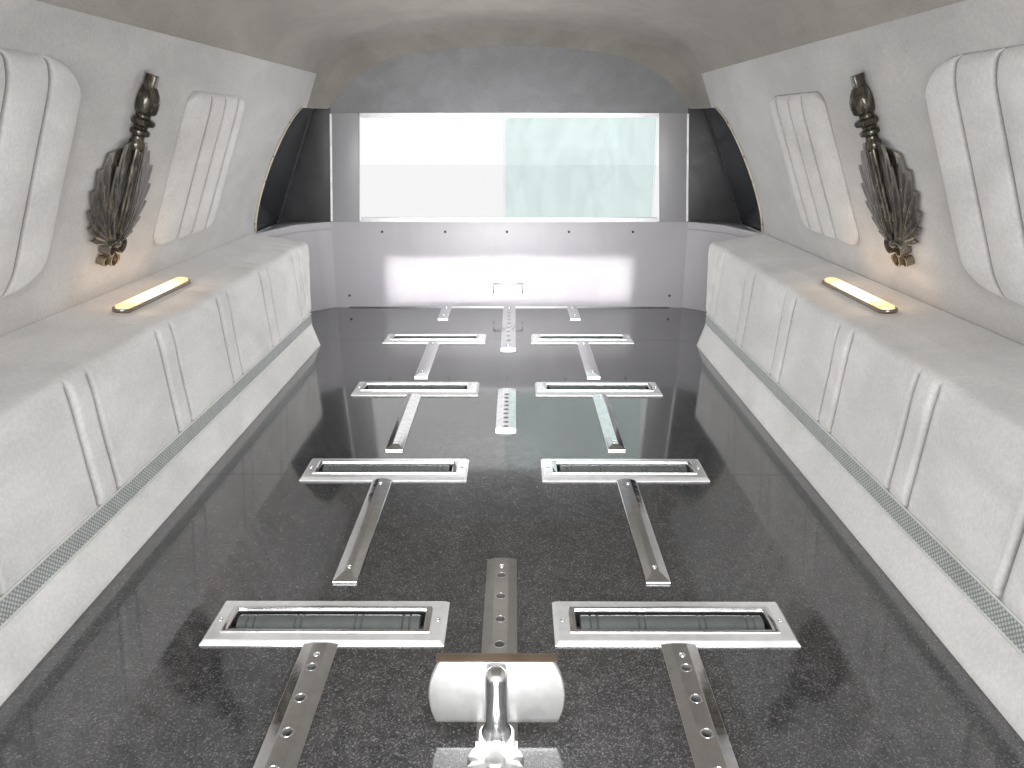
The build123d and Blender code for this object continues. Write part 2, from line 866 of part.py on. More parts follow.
# Torch ornament on each wall: a leaf sheaf with a turned neck above and a bow below
torch_y = rear + 1160
torch_low_h = wall_base_h + 60
torch_high_h = crease_h - 62
leaf_tips = [(68, 64), (88, 88), (102, 118), (105, 152), (96, 188), (72, 215)]   # out from the middle, up
leaf_step = 14              # how far each leaf's tip stands out past the next leaf
leaf_thick = 22
rib_half = 26               # half width of the ribs over the sheaf's middle
rib_thick = 30
rib_narrow = 10
neck_r = 12
collar_r = 20
bud_r = 23
collar_half = 10
bow_r = 16
torch_plane = wall_plane(torch_y, torch_low_h)
neck_plane = torch_plane.offset(leaf_thick - neck_r)
torch_height = (torch_high_h - torch_low_h) / normal_x
leaf_low = 0.13 * torch_height
leaf_top = 0.67 * torch_height
collar_up = 0.75 * torch_height
bud_up = 0.84 * torch_height
with BuildPart() as torch:
    with BuildSketch(torch_plane):
        with BuildLine():
            for side in (-1, 1):
                edge = [(0, leaf_low)]
                for out, up in leaf_tips[:-1]:
                    edge += [(side * out, up), (side * (out - leaf_step), up + 3)]
                edge += [(side * leaf_tips[-1][0], leaf_tips[-1][1]), (side * neck_r, leaf_top)]
                Polyline(*edge)
            Line((-neck_r, leaf_top), (neck_r, leaf_top))
        make_face()
        with Locations((-bow_r, bow_r * 2.6), (bow_r, bow_r * 2.4), (0, bow_r)):
            Circle(bow_r)
    extrude(amount=leaf_thick)
    with BuildSketch(torch_plane):
        with BuildLine():
            Polyline(
                (-rib_narrow, leaf_tips[0][1]),
                (rib_narrow, leaf_tips[0][1]),
                (rib_half, leaf_tips[3][1]),
                (neck_r, leaf_top),
                (-neck_r, leaf_top),
                (-rib_half, leaf_tips[3][1]),
                close=True,
            )
        make_face()
    extrude(amount=rib_thick)
    with BuildSketch(neck_plane):
        with BuildLine():
            Polyline(
                (0, leaf_top),
                (neck_r, leaf_top),
                (neck_r, collar_up - collar_half),
                (collar_r, collar_up),
                (neck_r, collar_up + collar_half),
                (bud_r, bud_up),
                (neck_r - 2, torch_height - 20),
                (neck_r - 4, torch_height),
                (0, torch_height),
                close=True,
            )
        make_face()
    revolve(axis=Axis(neck_plane.origin, neck_plane.y_dir))
    split(bisect_by=torch_plane, keep=Keep.TOP)
save_both(torch.part, "torches")

# Headliner and the cove that curls down to the partition
with BuildPart() as headliner:
    with BuildSketch(across(rear)):
        with BuildLine():
            draw_roof(0)
            draw_roof(panel)
            for side in (-1, 1):
                Line(raised(crease, side), raised(roof_points(panel)[0], side))
        make_face()
    extrude(amount=-(cove_start - rear))
save(headliner.part, "headliner")


def cove_points(share, out):
    """Half section of the cove: 0 is the roof's own section, 1 the partition's arch."""
    foot = (wall_x(aperture_top[1] - 5), aperture_top[1] - 5)
    roof = [foot, crease, roof_shoulder, roof_corner, (0, roof_top_h)]
    arch_foot = (post_high_x + 12, window_top_h)
    arch = [arch_foot, (arch_foot[0] - 10, window_top_h + 20), arch_corner, arch_end, (0, arch_top_h)]
    turns = (degrees(lean_angle), degrees(lean_angle), 48, 74, 90)
    points = [
        (a[0] + (b[0] - a[0]) * share, a[1] + (b[1] - a[1]) * share)
        for a, b in zip(roof, arch)
    ]
    return [grown(point, out, turn) for point, turn in zip(points, turns)]


def cove_face(y, share):
    """Closed section of the cove's shell at a station."""
    with BuildSketch(across(y)) as sketch:
        with BuildLine():
            for out in (0, panel):
                foot, low, shoulder, corner, top = cove_points(share, out)
                for side in (-1, 1):
                    Line(raised(foot, side), raised(low, side))
                    ThreePointArc(raised(low, side), raised(shoulder, side), raised(corner, side))
                ThreePointArc(raised(corner), raised(top), raised(corner, -1))
            for side in (-1, 1):
                Line(raised(cove_points(share, 0)[0], side), raised(cove_points(share, panel)[0], side))
        make_face()
    return sketch.sketch


with BuildPart() as front_cove:
    loft([cove_face(cove_start, 0), cove_face(cove_middle, 0.30)], ruled=True)
    loft([cove_face(cove_middle, 0.30), cove_face(front, 1)], ruled=True)
    with BuildSketch(along(0)):
        with BuildLine():
            draw_aperture()
        make_face()
    extrude(amount=wall_base_x, both=True, mode=Mode.SUBTRACT)
save(front_cove.part, "front_cove")

# Rear trim around the opening
lip = 6
with BuildPart() as rear_arch_trim:
    with BuildSketch(across(rear)):
        with BuildLine():
            draw_roof(-lip)
            draw_roof(panel + frame_bar)
            for side in (-1, 1):
                Polyline(
                    raised(roof_points(-lip)[0], side),
                    (side * wall_x(bench_top_h + 2, -lip), level(bench_top_h + 2)),
                    (side * bearer_half, level(bench_top_h + 2)),
                    (side * wall_x(knee_h, panel + frame_bar), level(knee_h)),
                    raised(roof_points(panel + frame_bar)[0], side),
                )
        make_face()
    extrude(amount=trim_depth)
save(rear_arch_trim.part, "rear_arch_trim")

# Partition behind the front seats
with BuildPart() as partition_lower:
    with BuildSketch(across(front)):
        with Locations((0, (deck_under + level(window_sill_h)) / 2)):
            Rectangle(2 * deck_half, level(window_sill_h) - deck_under)
    extrude(amount=-board_thick)
save(partition_lower.part, "partition_lower")

with BuildPart() as partition_posts:
    with BuildSketch(across(front)):
        for side in (-1, 1):
            with BuildLine():
                Polyline(
                    (side * opening_low_x, level(window_sill_h)),
                    (side * post_low_x, level(window_sill_h)),
                    (side * post_high_x, level(window_top_h)),
                    (side * opening_high_x, level(window_top_h)),
                    close=True,
                )
            make_face()
    extrude(amount=-board_thick)
save(partition_posts.part, "partition_posts")

shelf_h = window_top_h + 16     # the upper panel's foot outside the window posts
with BuildPart() as partition_upper:
    with BuildSketch(across(front)):
        with BuildLine():
            draw_roof(panel + frame_bar)
            for side in (-1, 1):
                Polyline(
                    raised(roof_points(panel + frame_bar)[0], side),
                    (side * wall_x(shelf_h, panel + frame_bar), level(shelf_h)),
                    (side * post_high_x, level(shelf_h)),
                    (side * post_high_x, level(window_top_h)),
                    (0, level(window_top_h)),
                )
        make_face()
    extrude(amount=-board_thick)
save(partition_upper.part, "partition_upper")

pane = 4
pane_places = (front + 5, front + 11)   # middles of the inner and the outer pane
pane_overlap = 12
track_depth = 4
track_height = 14
tracks = [
    # middle height, half length between the window posts
    (window_sill_h + track_height / 2, opening_low_x - 8),
    (window_top_h - track_height / 2, opening_high_x - 4),
]
with BuildPart() as window_tracks:
    for height, half in tracks:
        with Locations((0, front + board_thick / 2, level(height))):
            Box(2 * half, board_thick, track_height)
    for y in pane_places:
        for height in (window_sill_h + track_height, window_top_h - track_height):
            with Locations((0, y, level(height))):
                Box(2 * post_low_x, pane + fit_gap, 2 * (track_height - track_depth), mode=Mode.SUBTRACT)
save(window_tracks.part, "window_tracks")

pane_low = window_sill_h + track_depth + fit_gap
pane_high = window_top_h - track_depth - fit_gap
pane_wide = opening_high_x - 2 + pane_overlap
with BuildPart() as partition_glass:
    for y, low_x in zip(pane_places, (-pane_overlap - 8, -pane_overlap)):
        with Locations((low_x + pane_wide / 2, y, level((pane_low + pane_high) / 2))):
            Box(pane_wide, pane, pane_high - pane_low)
save(partition_glass.part, "partition_glass")

# Front corners: low panels, dark pillar trims and quarter glass
corner_turn = (wall_base_x - 62, front - 90)
corner_rear = (wall_base_x, aperture_foot[0])
corner_front = (post_low_x + 2, front)
with BuildPart() as corner_panel:
    with BuildSketch(Plane.XY.offset(level(0))):
        with BuildLine():
            Polyline(
                corner_front,
                corner_turn,
                corner_rear,
                (corner_rear[0], bench_foot_end),
                (corner_rear[0] + panel, bench_foot_end),
                (corner_rear[0] + panel, corner_rear[1] + 3),
                (corner_turn[0] + panel, corner_turn[1] + 5),
                (corner_front[0] + 17, front),
                close=True,
            )
        make_face()
    extrude(amount=wall_foot_h)
save_both(corner_panel.part, "corner_panels")

with BuildPart() as corner_sill:
    with BuildSketch(Plane.XY.offset(level(wall_foot_h))):
        with BuildLine():
            Polyline(
                corner_front,
                corner_turn,
                corner_rear,
                (corner_rear[0], cove_start),
                (post_base_x, cove_start),
                (post_base_x, front),
                close=True,
            )
        make_face()
    extrude(amount=aperture_foot[1] - wall_foot_h)
save_both(corner_sill.part, "corner_sills")

with BuildPart() as pillar_trim:
    with BuildSketch(across(front)):
        with BuildLine():
            Polyline(
                (post_low_x, level(window_sill_h)),
                (wall_x(window_sill_h, panel + frame_bar), level(window_sill_h)),
                (wall_x(shelf_h, panel + frame_bar), level(shelf_h)),
                (post_high_x, level(shelf_h)),
                (post_high_x, level(window_top_h)),
                close=True,
            )
        make_face()
    extrude(amount=-panel)
save_both(pillar_trim.part, "pillar_trims")

glass_rear = aperture_rear[0] - 40
glass_thick = 5
glass_low_h = window_sill_h - 8
glass_high_h = aperture_top[1] + 40
with BuildPart() as quarter_glass:
    with BuildSketch(across(glass_rear)):
        with BuildLine():
            Polyline(
                raised((wall_x(glass_low_h, panel), glass_low_h)),
                raised((wall_x(glass_low_h, panel + glass_thick), glass_low_h)),
                raised((wall_x(glass_high_h, panel + glass_thick), glass_high_h)),
                raised((wall_x(glass_high_h, panel), glass_high_h)),
                close=True,
            )
        make_face()
    extrude(amount=-(post_stations[-1] - frame_width / 2 - glass_rear))
save_both(quarter_glass.part, "quarter_glass")
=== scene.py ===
from math import atan, cos, pi, radians, sin, sqrt

import bmesh
import bpy
from mathutils import Matrix, Vector


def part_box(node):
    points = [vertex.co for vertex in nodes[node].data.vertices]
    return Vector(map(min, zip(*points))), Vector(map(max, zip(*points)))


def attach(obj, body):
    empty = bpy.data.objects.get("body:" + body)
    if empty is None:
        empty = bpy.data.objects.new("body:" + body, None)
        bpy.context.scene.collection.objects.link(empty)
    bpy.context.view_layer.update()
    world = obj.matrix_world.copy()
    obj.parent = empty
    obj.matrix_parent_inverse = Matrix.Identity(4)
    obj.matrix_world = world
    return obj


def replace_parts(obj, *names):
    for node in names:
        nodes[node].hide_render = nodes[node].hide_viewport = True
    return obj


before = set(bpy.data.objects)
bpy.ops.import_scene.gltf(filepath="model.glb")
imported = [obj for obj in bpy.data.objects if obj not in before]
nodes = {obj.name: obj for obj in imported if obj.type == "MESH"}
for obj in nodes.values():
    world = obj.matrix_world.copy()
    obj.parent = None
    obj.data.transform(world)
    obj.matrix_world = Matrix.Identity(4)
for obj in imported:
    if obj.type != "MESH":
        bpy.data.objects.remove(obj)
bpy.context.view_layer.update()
scene = bpy.context.scene
print("frame loaded,", len(nodes), "nodes")

# The space, read from the frame
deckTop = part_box("deck_board_rear")[1].z
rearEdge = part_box("deck_board_rear")[0].y
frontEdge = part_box("partition_lower")[0].y
wallFoot = {"x": 0.760, "up": 0.302}       # foot of the leaning wall, up from the deck
wallLean = 0.40
leanAngle = atan(wallLean)
fabricGap = 0.0004                          # air left between a soft piece and its wall


def wallX(up):
    return wallFoot["x"] - (up - wallFoot["up"]) * wallLean


def smoothStep(value):
    value = max(0.0, min(1.0, value))
    return value * value * (3 - 2 * value)


def tinted(colour, share):
    return tuple(min(1.0, c * share) for c in colour)


def lighter(colour, step):
    return tuple(c + step for c in colour)


# Shader nodes of a material or the world: most methods add nodes and give back a socket
class Nodes:
    def __init__(self, owner):
        owner.use_nodes = True
        self.tree = owner.node_tree

    def put(self, socket, value):
        if hasattr(value, "is_linked"):
            self.tree.links.new(value, socket)
        else:
            socket.default_value = value

    def putAll(self, node, values):
        for key, value in values.items():
            self.put(node.inputs[key.replace("_", " ")], value)

    def add(self, kind, **values):
        node = self.tree.nodes.new(kind)
        self.putAll(node, values)
        return node

    def space(self, scale=(1, 1, 1), turn=(0, 0, 0)):
        coordinate = self.add("ShaderNodeTexCoord").outputs["Object"]
        return self.add("ShaderNodeMapping", Scale=scale, Rotation=turn, Vector=coordinate).outputs["Vector"]

    def grain(self, scale, detail=4.0, stretch=(1, 1, 1), distortion=0.0, turn=(0, 0, 0)):
        return self.add("ShaderNodeTexNoise", Scale=scale, Detail=detail, Distortion=distortion,
                        Vector=self.space(stretch, turn)).outputs["Fac"]

    def cells(self, scale, output="Distance"):
        return self.add("ShaderNodeTexVoronoi", Scale=scale, Vector=self.space()).outputs[output]

    def waves(self, scale, turn=(0, 0, 0)):
        node = self.add("ShaderNodeTexWave", Scale=scale, Distortion=0.0, Detail=0.0,
                        Vector=self.space(turn=turn))
        node.bands_direction = "Y"
        return node.outputs["Fac"]

    def attribute(self, name):
        node = self.add("ShaderNodeAttribute")
        node.attribute_name = name
        return node.outputs["Fac"]

    def ramp(self, factor, *stops):
        node = self.add("ShaderNodeValToRGB", Fac=factor)
        elements = node.color_ramp.elements
        while len(elements) < len(stops):
            elements.new(0.5)
        for element, (place, colour) in zip(elements, stops):
            element.position = place
            element.color = (*colour, 1) if hasattr(colour, "__len__") else (colour, colour, colour, 1)
        return node.outputs["Color"]

    def blend(self, factor, first, second, mode="MIX"):
        node = self.add("ShaderNodeMix")
        node.data_type = "RGBA"
        node.blend_type = mode
        for key, value in (("Factor", factor), ("A", first), ("B", second)):
            self.put(node.inputs[key], (*value, 1) if isinstance(value, tuple) else value)
        return node.outputs["Result"]

    def darken(self, shade, layer, *stops):
        return self.blend(1.0, shade, self.ramp(layer, *stops), "MULTIPLY")

    def calculate(self, operation, first, second):
        node = self.add("ShaderNodeMath")
        node.operation = operation
        self.put(node.inputs[0], first)
        self.put(node.inputs[1], second)
        return node.outputs["Value"]

    def bump(self, height, distance, strength=1.0, under=None):
        node = self.add("ShaderNodeBump", Strength=strength, Distance=distance, Height=height)
        if under is not None:
            self.put(node.inputs["Normal"], under)
        return node.outputs["Normal"]

    def seenRays(self):
        # 1 on rays that come straight from the camera, from a mirror or through glass
        rays = self.add("ShaderNodeLightPath").outputs
        seen = rays["Is Camera Ray"]
        for kind in ("Is Glossy Ray", "Is Transmission Ray"):
            seen = self.calculate("MAXIMUM", seen, rays[kind])
        return seen


class Look(Nodes):
    def __init__(self, name, colour, roughness, metallic=0.0):
        self.material = bpy.data.materials.new(name)
        super().__init__(self.material)
        self.shader = self.tree.nodes["Principled BSDF"]
        self.feed(Base_Color=(*colour, 1), Roughness=roughness, Metallic=metallic)

    def feed(self, **values):
        self.putAll(self.shader, values)
        return self.material


# Finishes

def suedeCloth(name, colour):
    look = Look(name, colour, 0.92)
    strokes = look.grain(3.6, 3.0, (1, 1, 1.6), 1.2)
    patches = look.grain(20.0, 4.0, (1.0, 0.45, 1.0), 0.7, (0.6, 0.2, 0.1))
    pile = look.grain(190.0, 5.0)
    fibres = look.grain(800.0, 3.0)
    shade = look.ramp(strokes, (0.36, tinted(colour, 0.92)), (0.62, tinted(colour, 1.07)))
    for layer, low, dark in ((patches, 0.34, 0.915), (pile, 0.34, 0.88), (fibres, 0.25, 0.86)):
        shade = look.darken(shade, layer, (low, dark), (0.68, 1.0))
    # painted shade: the cloth is darkened along the "seam" attribute, for the shade in the seam grooves
    shade = look.blend(look.attribute("seam"), shade, tinted(colour, 0.16))
    soft = look.bump(pile, 0.0008, 0.35)
    return look.feed(Base_Color=shade, Normal=look.bump(fibres, 0.0005, 0.7, soft),
                     Roughness=look.ramp(patches, (0.2, 0.98), (0.8, 0.84)),
                     Sheen_Weight=0.35, Sheen_Roughness=0.45, Specular_IOR_Level=0.2)


def knitLining(name, colour):
    look = Look(name, colour, 0.95)
    loops = look.cells(420.0)
    drift = look.grain(2.6, 4.0, (1, 0.6, 1), 0.9)
    handMarks = look.grain(14.0, 4.0, (1, 0.5, 1), 0.6)
    shade = look.ramp(drift, (0.36, tinted(colour, 0.86)), (0.64, tinted(colour, 1.12)))
    shade = look.darken(shade, loops, (0.1, 1.0), (0.75, 0.80))
    shade = look.darken(shade, handMarks, (0.36, 0.88), (0.6, 1.0))
    return look.feed(Base_Color=shade, Normal=look.bump(loops, 0.0005, 0.6, look.bump(drift, 0.003, 0.20)),
                     Sheen_Weight=0.2, Specular_IOR_Level=0.2)


def speckledLaminate():
    look = Look("deckLaminate", (0.012, 0.012, 0.013), 0.09)
    flakes = look.ramp(look.cells(640.0, "Color"), (0.50, 0.0), (0.74, 0.026), (0.92, 0.080))
    chips = look.ramp(look.cells(330.0, "Color"), (0.82, 0.0), (0.96, 0.040))
    dust = look.ramp(look.grain(4.2, 5.0, (1, 0.55, 1), 1.0), (0.45, 0.0), (0.85, 0.020))
    shade = look.ramp(look.grain(60.0, 5.0), (0.35, (0.018, 0.018, 0.019)), (0.7, (0.036, 0.035, 0.036)))
    for layer in (flakes, chips, dust):
        shade = look.blend(1.0, shade, layer, "ADD")
    scuffs = look.ramp(look.grain(95.0, 2.0, (6.0, 0.35, 1), 3.0, (0, 0, 0.5)), (0.66, 0.0), (0.74, 1.0))
    swirls = look.ramp(look.grain(70.0, 2.0, (0.5, 5.0, 1), 4.0, (0, 0, -0.9)), (0.68, 0.0), (0.76, 1.0))
    smear = look.ramp(look.grain(2.6, 4.0, (1, 1, 1), 1.2), (0.35, 0.05), (0.75, 0.17))
    worn = look.calculate("MAXIMUM", scuffs, swirls)
    return look.feed(Base_Color=shade, Roughness=look.blend(worn, smear, (0.30, 0.30, 0.30)),
                     Normal=look.bump(look.grain(38.0, 2.0), 0.00022, 0.25),
                     Specular_IOR_Level=0.62, Coat_Weight=0.8, Coat_Roughness=0.06)


def polishedMetal(name, colour, roughness, haze=0.12, metallic=1.0):
    look = Look(name, colour, roughness, metallic)
    smears = look.grain(28.0, 5.0, (1, 1.8, 1), 1.2)
    hairlines = look.grain(900.0, 2.0, (1, 0.02, 1))
    swelling = look.bump(look.grain(22.0, 2.0), 0.0006, 0.12)
    return look.feed(Roughness=look.ramp(smears, (0.35, roughness), (0.78, roughness + haze)),
                     Base_Color=look.ramp(look.grain(75.0, 4.0), (0.3, tinted(colour, 0.9)), (0.62, colour)),
                     Normal=look.bump(hairlines, 0.00003, 0.5, swelling))


def rubber(name, colour, roughness, pores=700.0):
    look = Look(name, colour, roughness)
    bloom = look.grain(34.0, 5.0, (1, 1, 1), 0.7)
    shade = look.ramp(bloom, (0.30, tinted(colour, 0.88)), (0.80, lighter(colour, 0.010)))
    return look.feed(Base_Color=shade,
                     Roughness=look.ramp(bloom, (0.25, roughness), (0.85, roughness + 0.12)),
                     Normal=look.bump(look.grain(pores, 2.0), 0.0002, 0.35))


def lacqueredBronze():
    look = Look("lacqueredBronze", (0.075, 0.066, 0.050), 0.28, 0.55)
    patina = look.grain(120.0, 5.0, (1, 1, 0.22), 0.5)
    shade = look.ramp(patina, (0.30, (0.026, 0.022, 0.017)), (0.52, (0.062, 0.054, 0.042)),
                      (0.70, (0.180, 0.158, 0.120)))
    rubbed = look.ramp(look.grain(120.0, 4.0), (0.62, 0.0), (0.84, 0.40))
    shade = look.blend(rubbed, shade, (0.24, 0.145, 0.050))
    # the "worn" attribute is partly wear and partly painted light: grey at the leaf edges is rubbed wear with
    # a painted highlight, amber on the bow is painted warm lamp light
    worn = look.attribute("worn")
    wearAndPaintedLight = look.ramp(worn, (0.46, (0.26, 0.242, 0.212)), (0.56, (0.42, 0.29, 0.13)))
    return look.feed(Base_Color=look.blend(worn, shade, wearAndPaintedLight),
                     Roughness=look.ramp(patina, (0.3, 0.14), (0.8, 0.32)),
                     Normal=look.bump(look.grain(240.0, 3.0, (1, 1, 0.4)), 0.00015, 0.35),
                     Coat_Weight=0.35, Coat_Roughness=0.15)


def checkerStrip():
    look = Look("checkerStrip", (0.42, 0.43, 0.42), 0.34, 0.45)
    weaves = [look.waves(62.0, (radians(turn), 0, 0)) for turn in (45, -45)]
    diamonds = look.calculate("MULTIPLY", *weaves)
    grime = look.grain(46.0, 5.0)
    shade = look.ramp(diamonds, (0.02, (0.29, 0.305, 0.30)), (0.4, (0.60, 0.62, 0.61)))
    return look.feed(Base_Color=look.darken(shade, grime, (0.3, 0.84), (0.6, 1.0)),
                     Roughness=look.ramp(grime, (0.3, 0.42), (0.7, 0.56)),
                     Normal=look.bump(diamonds, 0.0007, 0.5))


def partitionLaminate(name, colour):
    look = Look(name, colour, 0.34)
    pebble = look.grain(420.0, 3.0)
    wiped = look.grain(6.0, 5.0, (1, 1, 0.4), 1.4)
    shade = look.ramp(wiped, (0.3, tinted(colour, 0.93)), (0.7, tinted(colour, 1.05)))
    return look.feed(Base_Color=look.darken(shade, pebble, (0.3, 0.92), (0.7, 1.0)),
                     Roughness=look.ramp(wiped, (0.3, 0.30), (0.75, 0.44)),
                     Normal=look.bump(pebble, 0.0003, 0.35))


def mouldedPlastic(name, colour, roughness, pebbles=520.0):
    look = Look(name, colour, roughness)
    dust = look.grain(17.0, 5.0, (1, 1, 1), 0.8)
    return look.feed(Base_Color=look.ramp(dust, (0.32, tinted(colour, 0.82)), (0.72, tinted(colour, 1.16))),
                     Roughness=look.ramp(dust, (0.3, roughness - 0.06), (0.75, roughness + 0.14)),
                     Normal=look.bump(look.cells(pebbles), 0.0003, 0.5))


def satinPaint(name, colour, roughness):
    look = Look(name, colour, roughness)
    settled = look.grain(9.0, 6.0, (1, 1, 1), 0.6)
    shade = look.ramp(settled, (0.35, tinted(colour, 0.8)), (0.75, lighter(colour, 0.035)))
    chipped = look.ramp(look.cells(34.0, "Color"), (0.985, 0.0), (0.995, 0.7))
    return look.feed(Base_Color=look.blend(chipped, shade, (0.24, 0.22, 0.20)),
                     Roughness=look.ramp(settled, (0.3, roughness), (0.8, roughness + 0.25)),
                     Normal=look.bump(look.grain(260.0, 2.0), 0.0003, 0.4))


def plywood():
    look = Look("plywood", (0.40, 0.29, 0.18), 0.62)
    rings = look.grain(24.0, 6.0, (1, 0.09, 1.4), 1.6)
    pores = look.grain(340.0, 3.0, (1, 0.06, 1))
    shade = look.ramp(rings, (0.3, (0.27, 0.175, 0.095)), (0.5, (0.42, 0.30, 0.18)),
                      (0.75, (0.52, 0.40, 0.26)))
    return look.feed(Base_Color=look.darken(shade, pores, (0.3, 0.78), (0.6, 1.0)),
                     Normal=look.bump(pores, 0.0004, 0.5))


def glazing(name, colour, clear, roughness, index=1.5):
    look = Look(name, colour, roughness)
    smears = look.grain(8.0, 5.0, (1, 1, 0.5), 1.8)
    return look.feed(Base_Color=look.ramp(smears, (0.3, tinted(colour, 0.94)), (0.7, colour)),
                     Roughness=look.ramp(smears, (0.4, roughness), (0.8, roughness + 0.05)),
                     Transmission_Weight=clear, IOR=index)


lensLow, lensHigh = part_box("lamp_lenses")
lens = {"middleY": (lensLow.y + lensHigh.y) / 2, "half": (lensHigh.y - lensLow.y) / 2}


def lampGlow():
    look = Look("lampGlow", (0.95, 0.84, 0.62), 0.35)
    place = look.add("ShaderNodeSeparateXYZ", Vector=look.space()).outputs["Y"]
    along = look.calculate("ABSOLUTE", look.calculate("SUBTRACT", place, lens["middleY"]), 0.0)
    patches = look.calculate("MULTIPLY", look.grain(30.0, 3.0, (0.2, 1, 1)), 0.5)
    uneven = look.calculate("ADD", look.calculate("DIVIDE", along, lens["half"]), patches)
    glow = look.ramp(uneven, (0.42, (1.0, 0.90, 0.70)), (0.95, (1.0, 0.66, 0.32)), (1.0, (0.70, 0.40, 0.16)))
    return look.feed(Emission_Color=glow, Emission_Strength=1.35,
                     Normal=look.bump(look.waves(95.0), 0.0006, 0.5),
                     Base_Color=look.ramp(uneven, (0.4, (0.97, 0.88, 0.70)), (1.0, (0.80, 0.60, 0.36))))


finish = {
    "suede": suedeCloth("greySuede", (0.548, 0.538, 0.530)),
    "wallSuede": suedeCloth("wallSuede", (0.445, 0.435, 0.426)),
    "suedeDark": suedeCloth("archCloth", (0.255, 0.258, 0.268)),
    "headlining": knitLining("headlining", (0.270, 0.252, 0.226)),
    "deck": speckledLaminate(),
    "chrome": polishedMetal("chrome", (0.90, 0.90, 0.91), 0.07),
    "plateSteel": polishedMetal("plateSteel", (0.93, 0.93, 0.94), 0.12, 0.10, 0.70),
    # painted shade: the bore walls are steel darkened to stand in for the shade inside the rail holes
    "boreSteelPaintedShade": polishedMetal("boreSteelPaintedShade", (0.30, 0.29, 0.28), 0.40, 0.10, 0.60),
    "fibreBack": mouldedPlastic("fibreBack", (0.215, 0.185, 0.145), 0.80, 240.0),
    "brushedSteel": polishedMetal("brushedSteel", (0.95, 0.95, 0.94), 0.34, 0.06),
    "darkChrome": polishedMetal("darkChrome", (0.30, 0.285, 0.27), 0.16),
    "aluminium": polishedMetal("satinAluminium", (0.62, 0.62, 0.63), 0.30),
    "brightEdge": mouldedPlastic("brightEdge", (0.86, 0.86, 0.85), 0.30),
    "checker": checkerStrip(),
    "stripRim": polishedMetal("stripRim", (0.66, 0.68, 0.66), 0.28, 0.10, 0.40),
    "rollerRubber": rubber("rollerRubber", (0.075, 0.082, 0.080), 0.16, 1500.0),
    "padRubber": rubber("gumRubber", (0.046, 0.032, 0.020), 0.30),
    "bronze": lacqueredBronze(),
    "partition": partitionLaminate("partitionLaminate", (0.290, 0.285, 0.298)),
    "boardLaminate": partitionLaminate("boardLaminate", (0.400, 0.390, 0.412)),
    "edging": mouldedPlastic("creamEdging", (0.50, 0.45, 0.36), 0.45),
    "darkTrim": mouldedPlastic("darkTrim", (0.035, 0.035, 0.038), 0.38),
    "screwBlack": satinPaint("screwBlack", (0.05, 0.045, 0.04), 0.35),
    "steel": satinPaint("frameSteel", (0.055, 0.055, 0.060), 0.42),
    "traySteel": satinPaint("traySteel", (0.018, 0.018, 0.018), 0.50),
    "plywood": plywood(),
    "tintedGlass": glazing("tintedGlass", (0.030, 0.033, 0.038), 0.35, 0.02),
    "clearGlass": glazing("clearGlass", (0.90, 0.975, 0.965), 0.98, 0.0, 1.06),
    "lampLens": lampGlow(),
}
print("finishes made:", len(finish))


# Modelling helpers

def meshOf(data):
    mesh = bmesh.new()
    mesh.from_mesh(data)
    return mesh


def onlyVerts(made):
    return [item for item in made["geom"] if isinstance(item, bmesh.types.BMVert)]


def soften(mesh, edges, width, segments=2, clamp=False):
    bmesh.ops.bevel(mesh, geom=edges, offset=width, offset_type="OFFSET", segments=segments, profile=0.5,
                    affect="EDGES", material=-1, clamp_overlap=clamp)


def shadeSmooth(data):
    data.polygons.foreach_set("use_smooth", [True] * len(data.polygons))


def finishPiece(mesh, name, material, sharp=35.0, body="compartment"):
    data = bpy.data.meshes.new(name)
    mesh.to_mesh(data)
    mesh.free()
    piece = bpy.data.objects.new(name, data)
    scene.collection.objects.link(piece)
    data.materials.append(finish[material])
    shadeSmooth(data)
    data.set_sharp_from_angle(angle=radians(sharp))
    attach(piece, body)
    return piece


# Heights of the low upright edges round the bars: in the CAD mesh, and on the pieces shown here
barEdge = {"inCad": 0.0015, "pin_rails": 0.0046, "pin_rail_centre_rear": 0.0046, "skid_bars": 0.0036}
# Linings whose outer faces are bare fibre board, and how much upwards counts as outwards
lined = {"headliner": 0.35, "front_cove": 0.35, "wall_panels": 0.0}


def roundedCopy(node, name, material, width, segments=2, sharp=35.0, body="compartment"):
    mesh = meshOf(nodes[node].data)
    bmesh.ops.remove_doubles(mesh, verts=mesh.verts, dist=0.00002)
    if node in barEdge:
        for vertex in mesh.verts:
            if abs(vertex.co.z - deckTop - barEdge["inCad"]) < 0.0003:
                vertex.co.z = deckTop + barEdge[node]
    bmesh.ops.dissolve_limit(mesh, angle_limit=radians(0.5), verts=mesh.verts, edges=mesh.edges)
    if width > 0:
        edges = [e for e in mesh.edges if len(e.link_faces) == 2 and e.calc_face_angle(0.0) > radians(sharp)]
        soften(mesh, edges, width, segments, True)
    if node in lined:
        mesh.normal_update()
        for face in mesh.faces:
            outwards = Vector((face.calc_center_median().x, 0, lined[node]))
            face.material_index = 1 if face.normal.dot(outwards) > 0.02 else 0
    piece = finishPiece(mesh, name, material, sharp, body)
    if node in lined:
        piece.data.materials.append(finish["fibreBack"])
    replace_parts(piece, node)


def flip(mesh, verts, faces):
    bmesh.ops.scale(mesh, vec=(-1, 1, 1), verts=verts)
    bmesh.ops.reverse_faces(mesh, faces=faces)


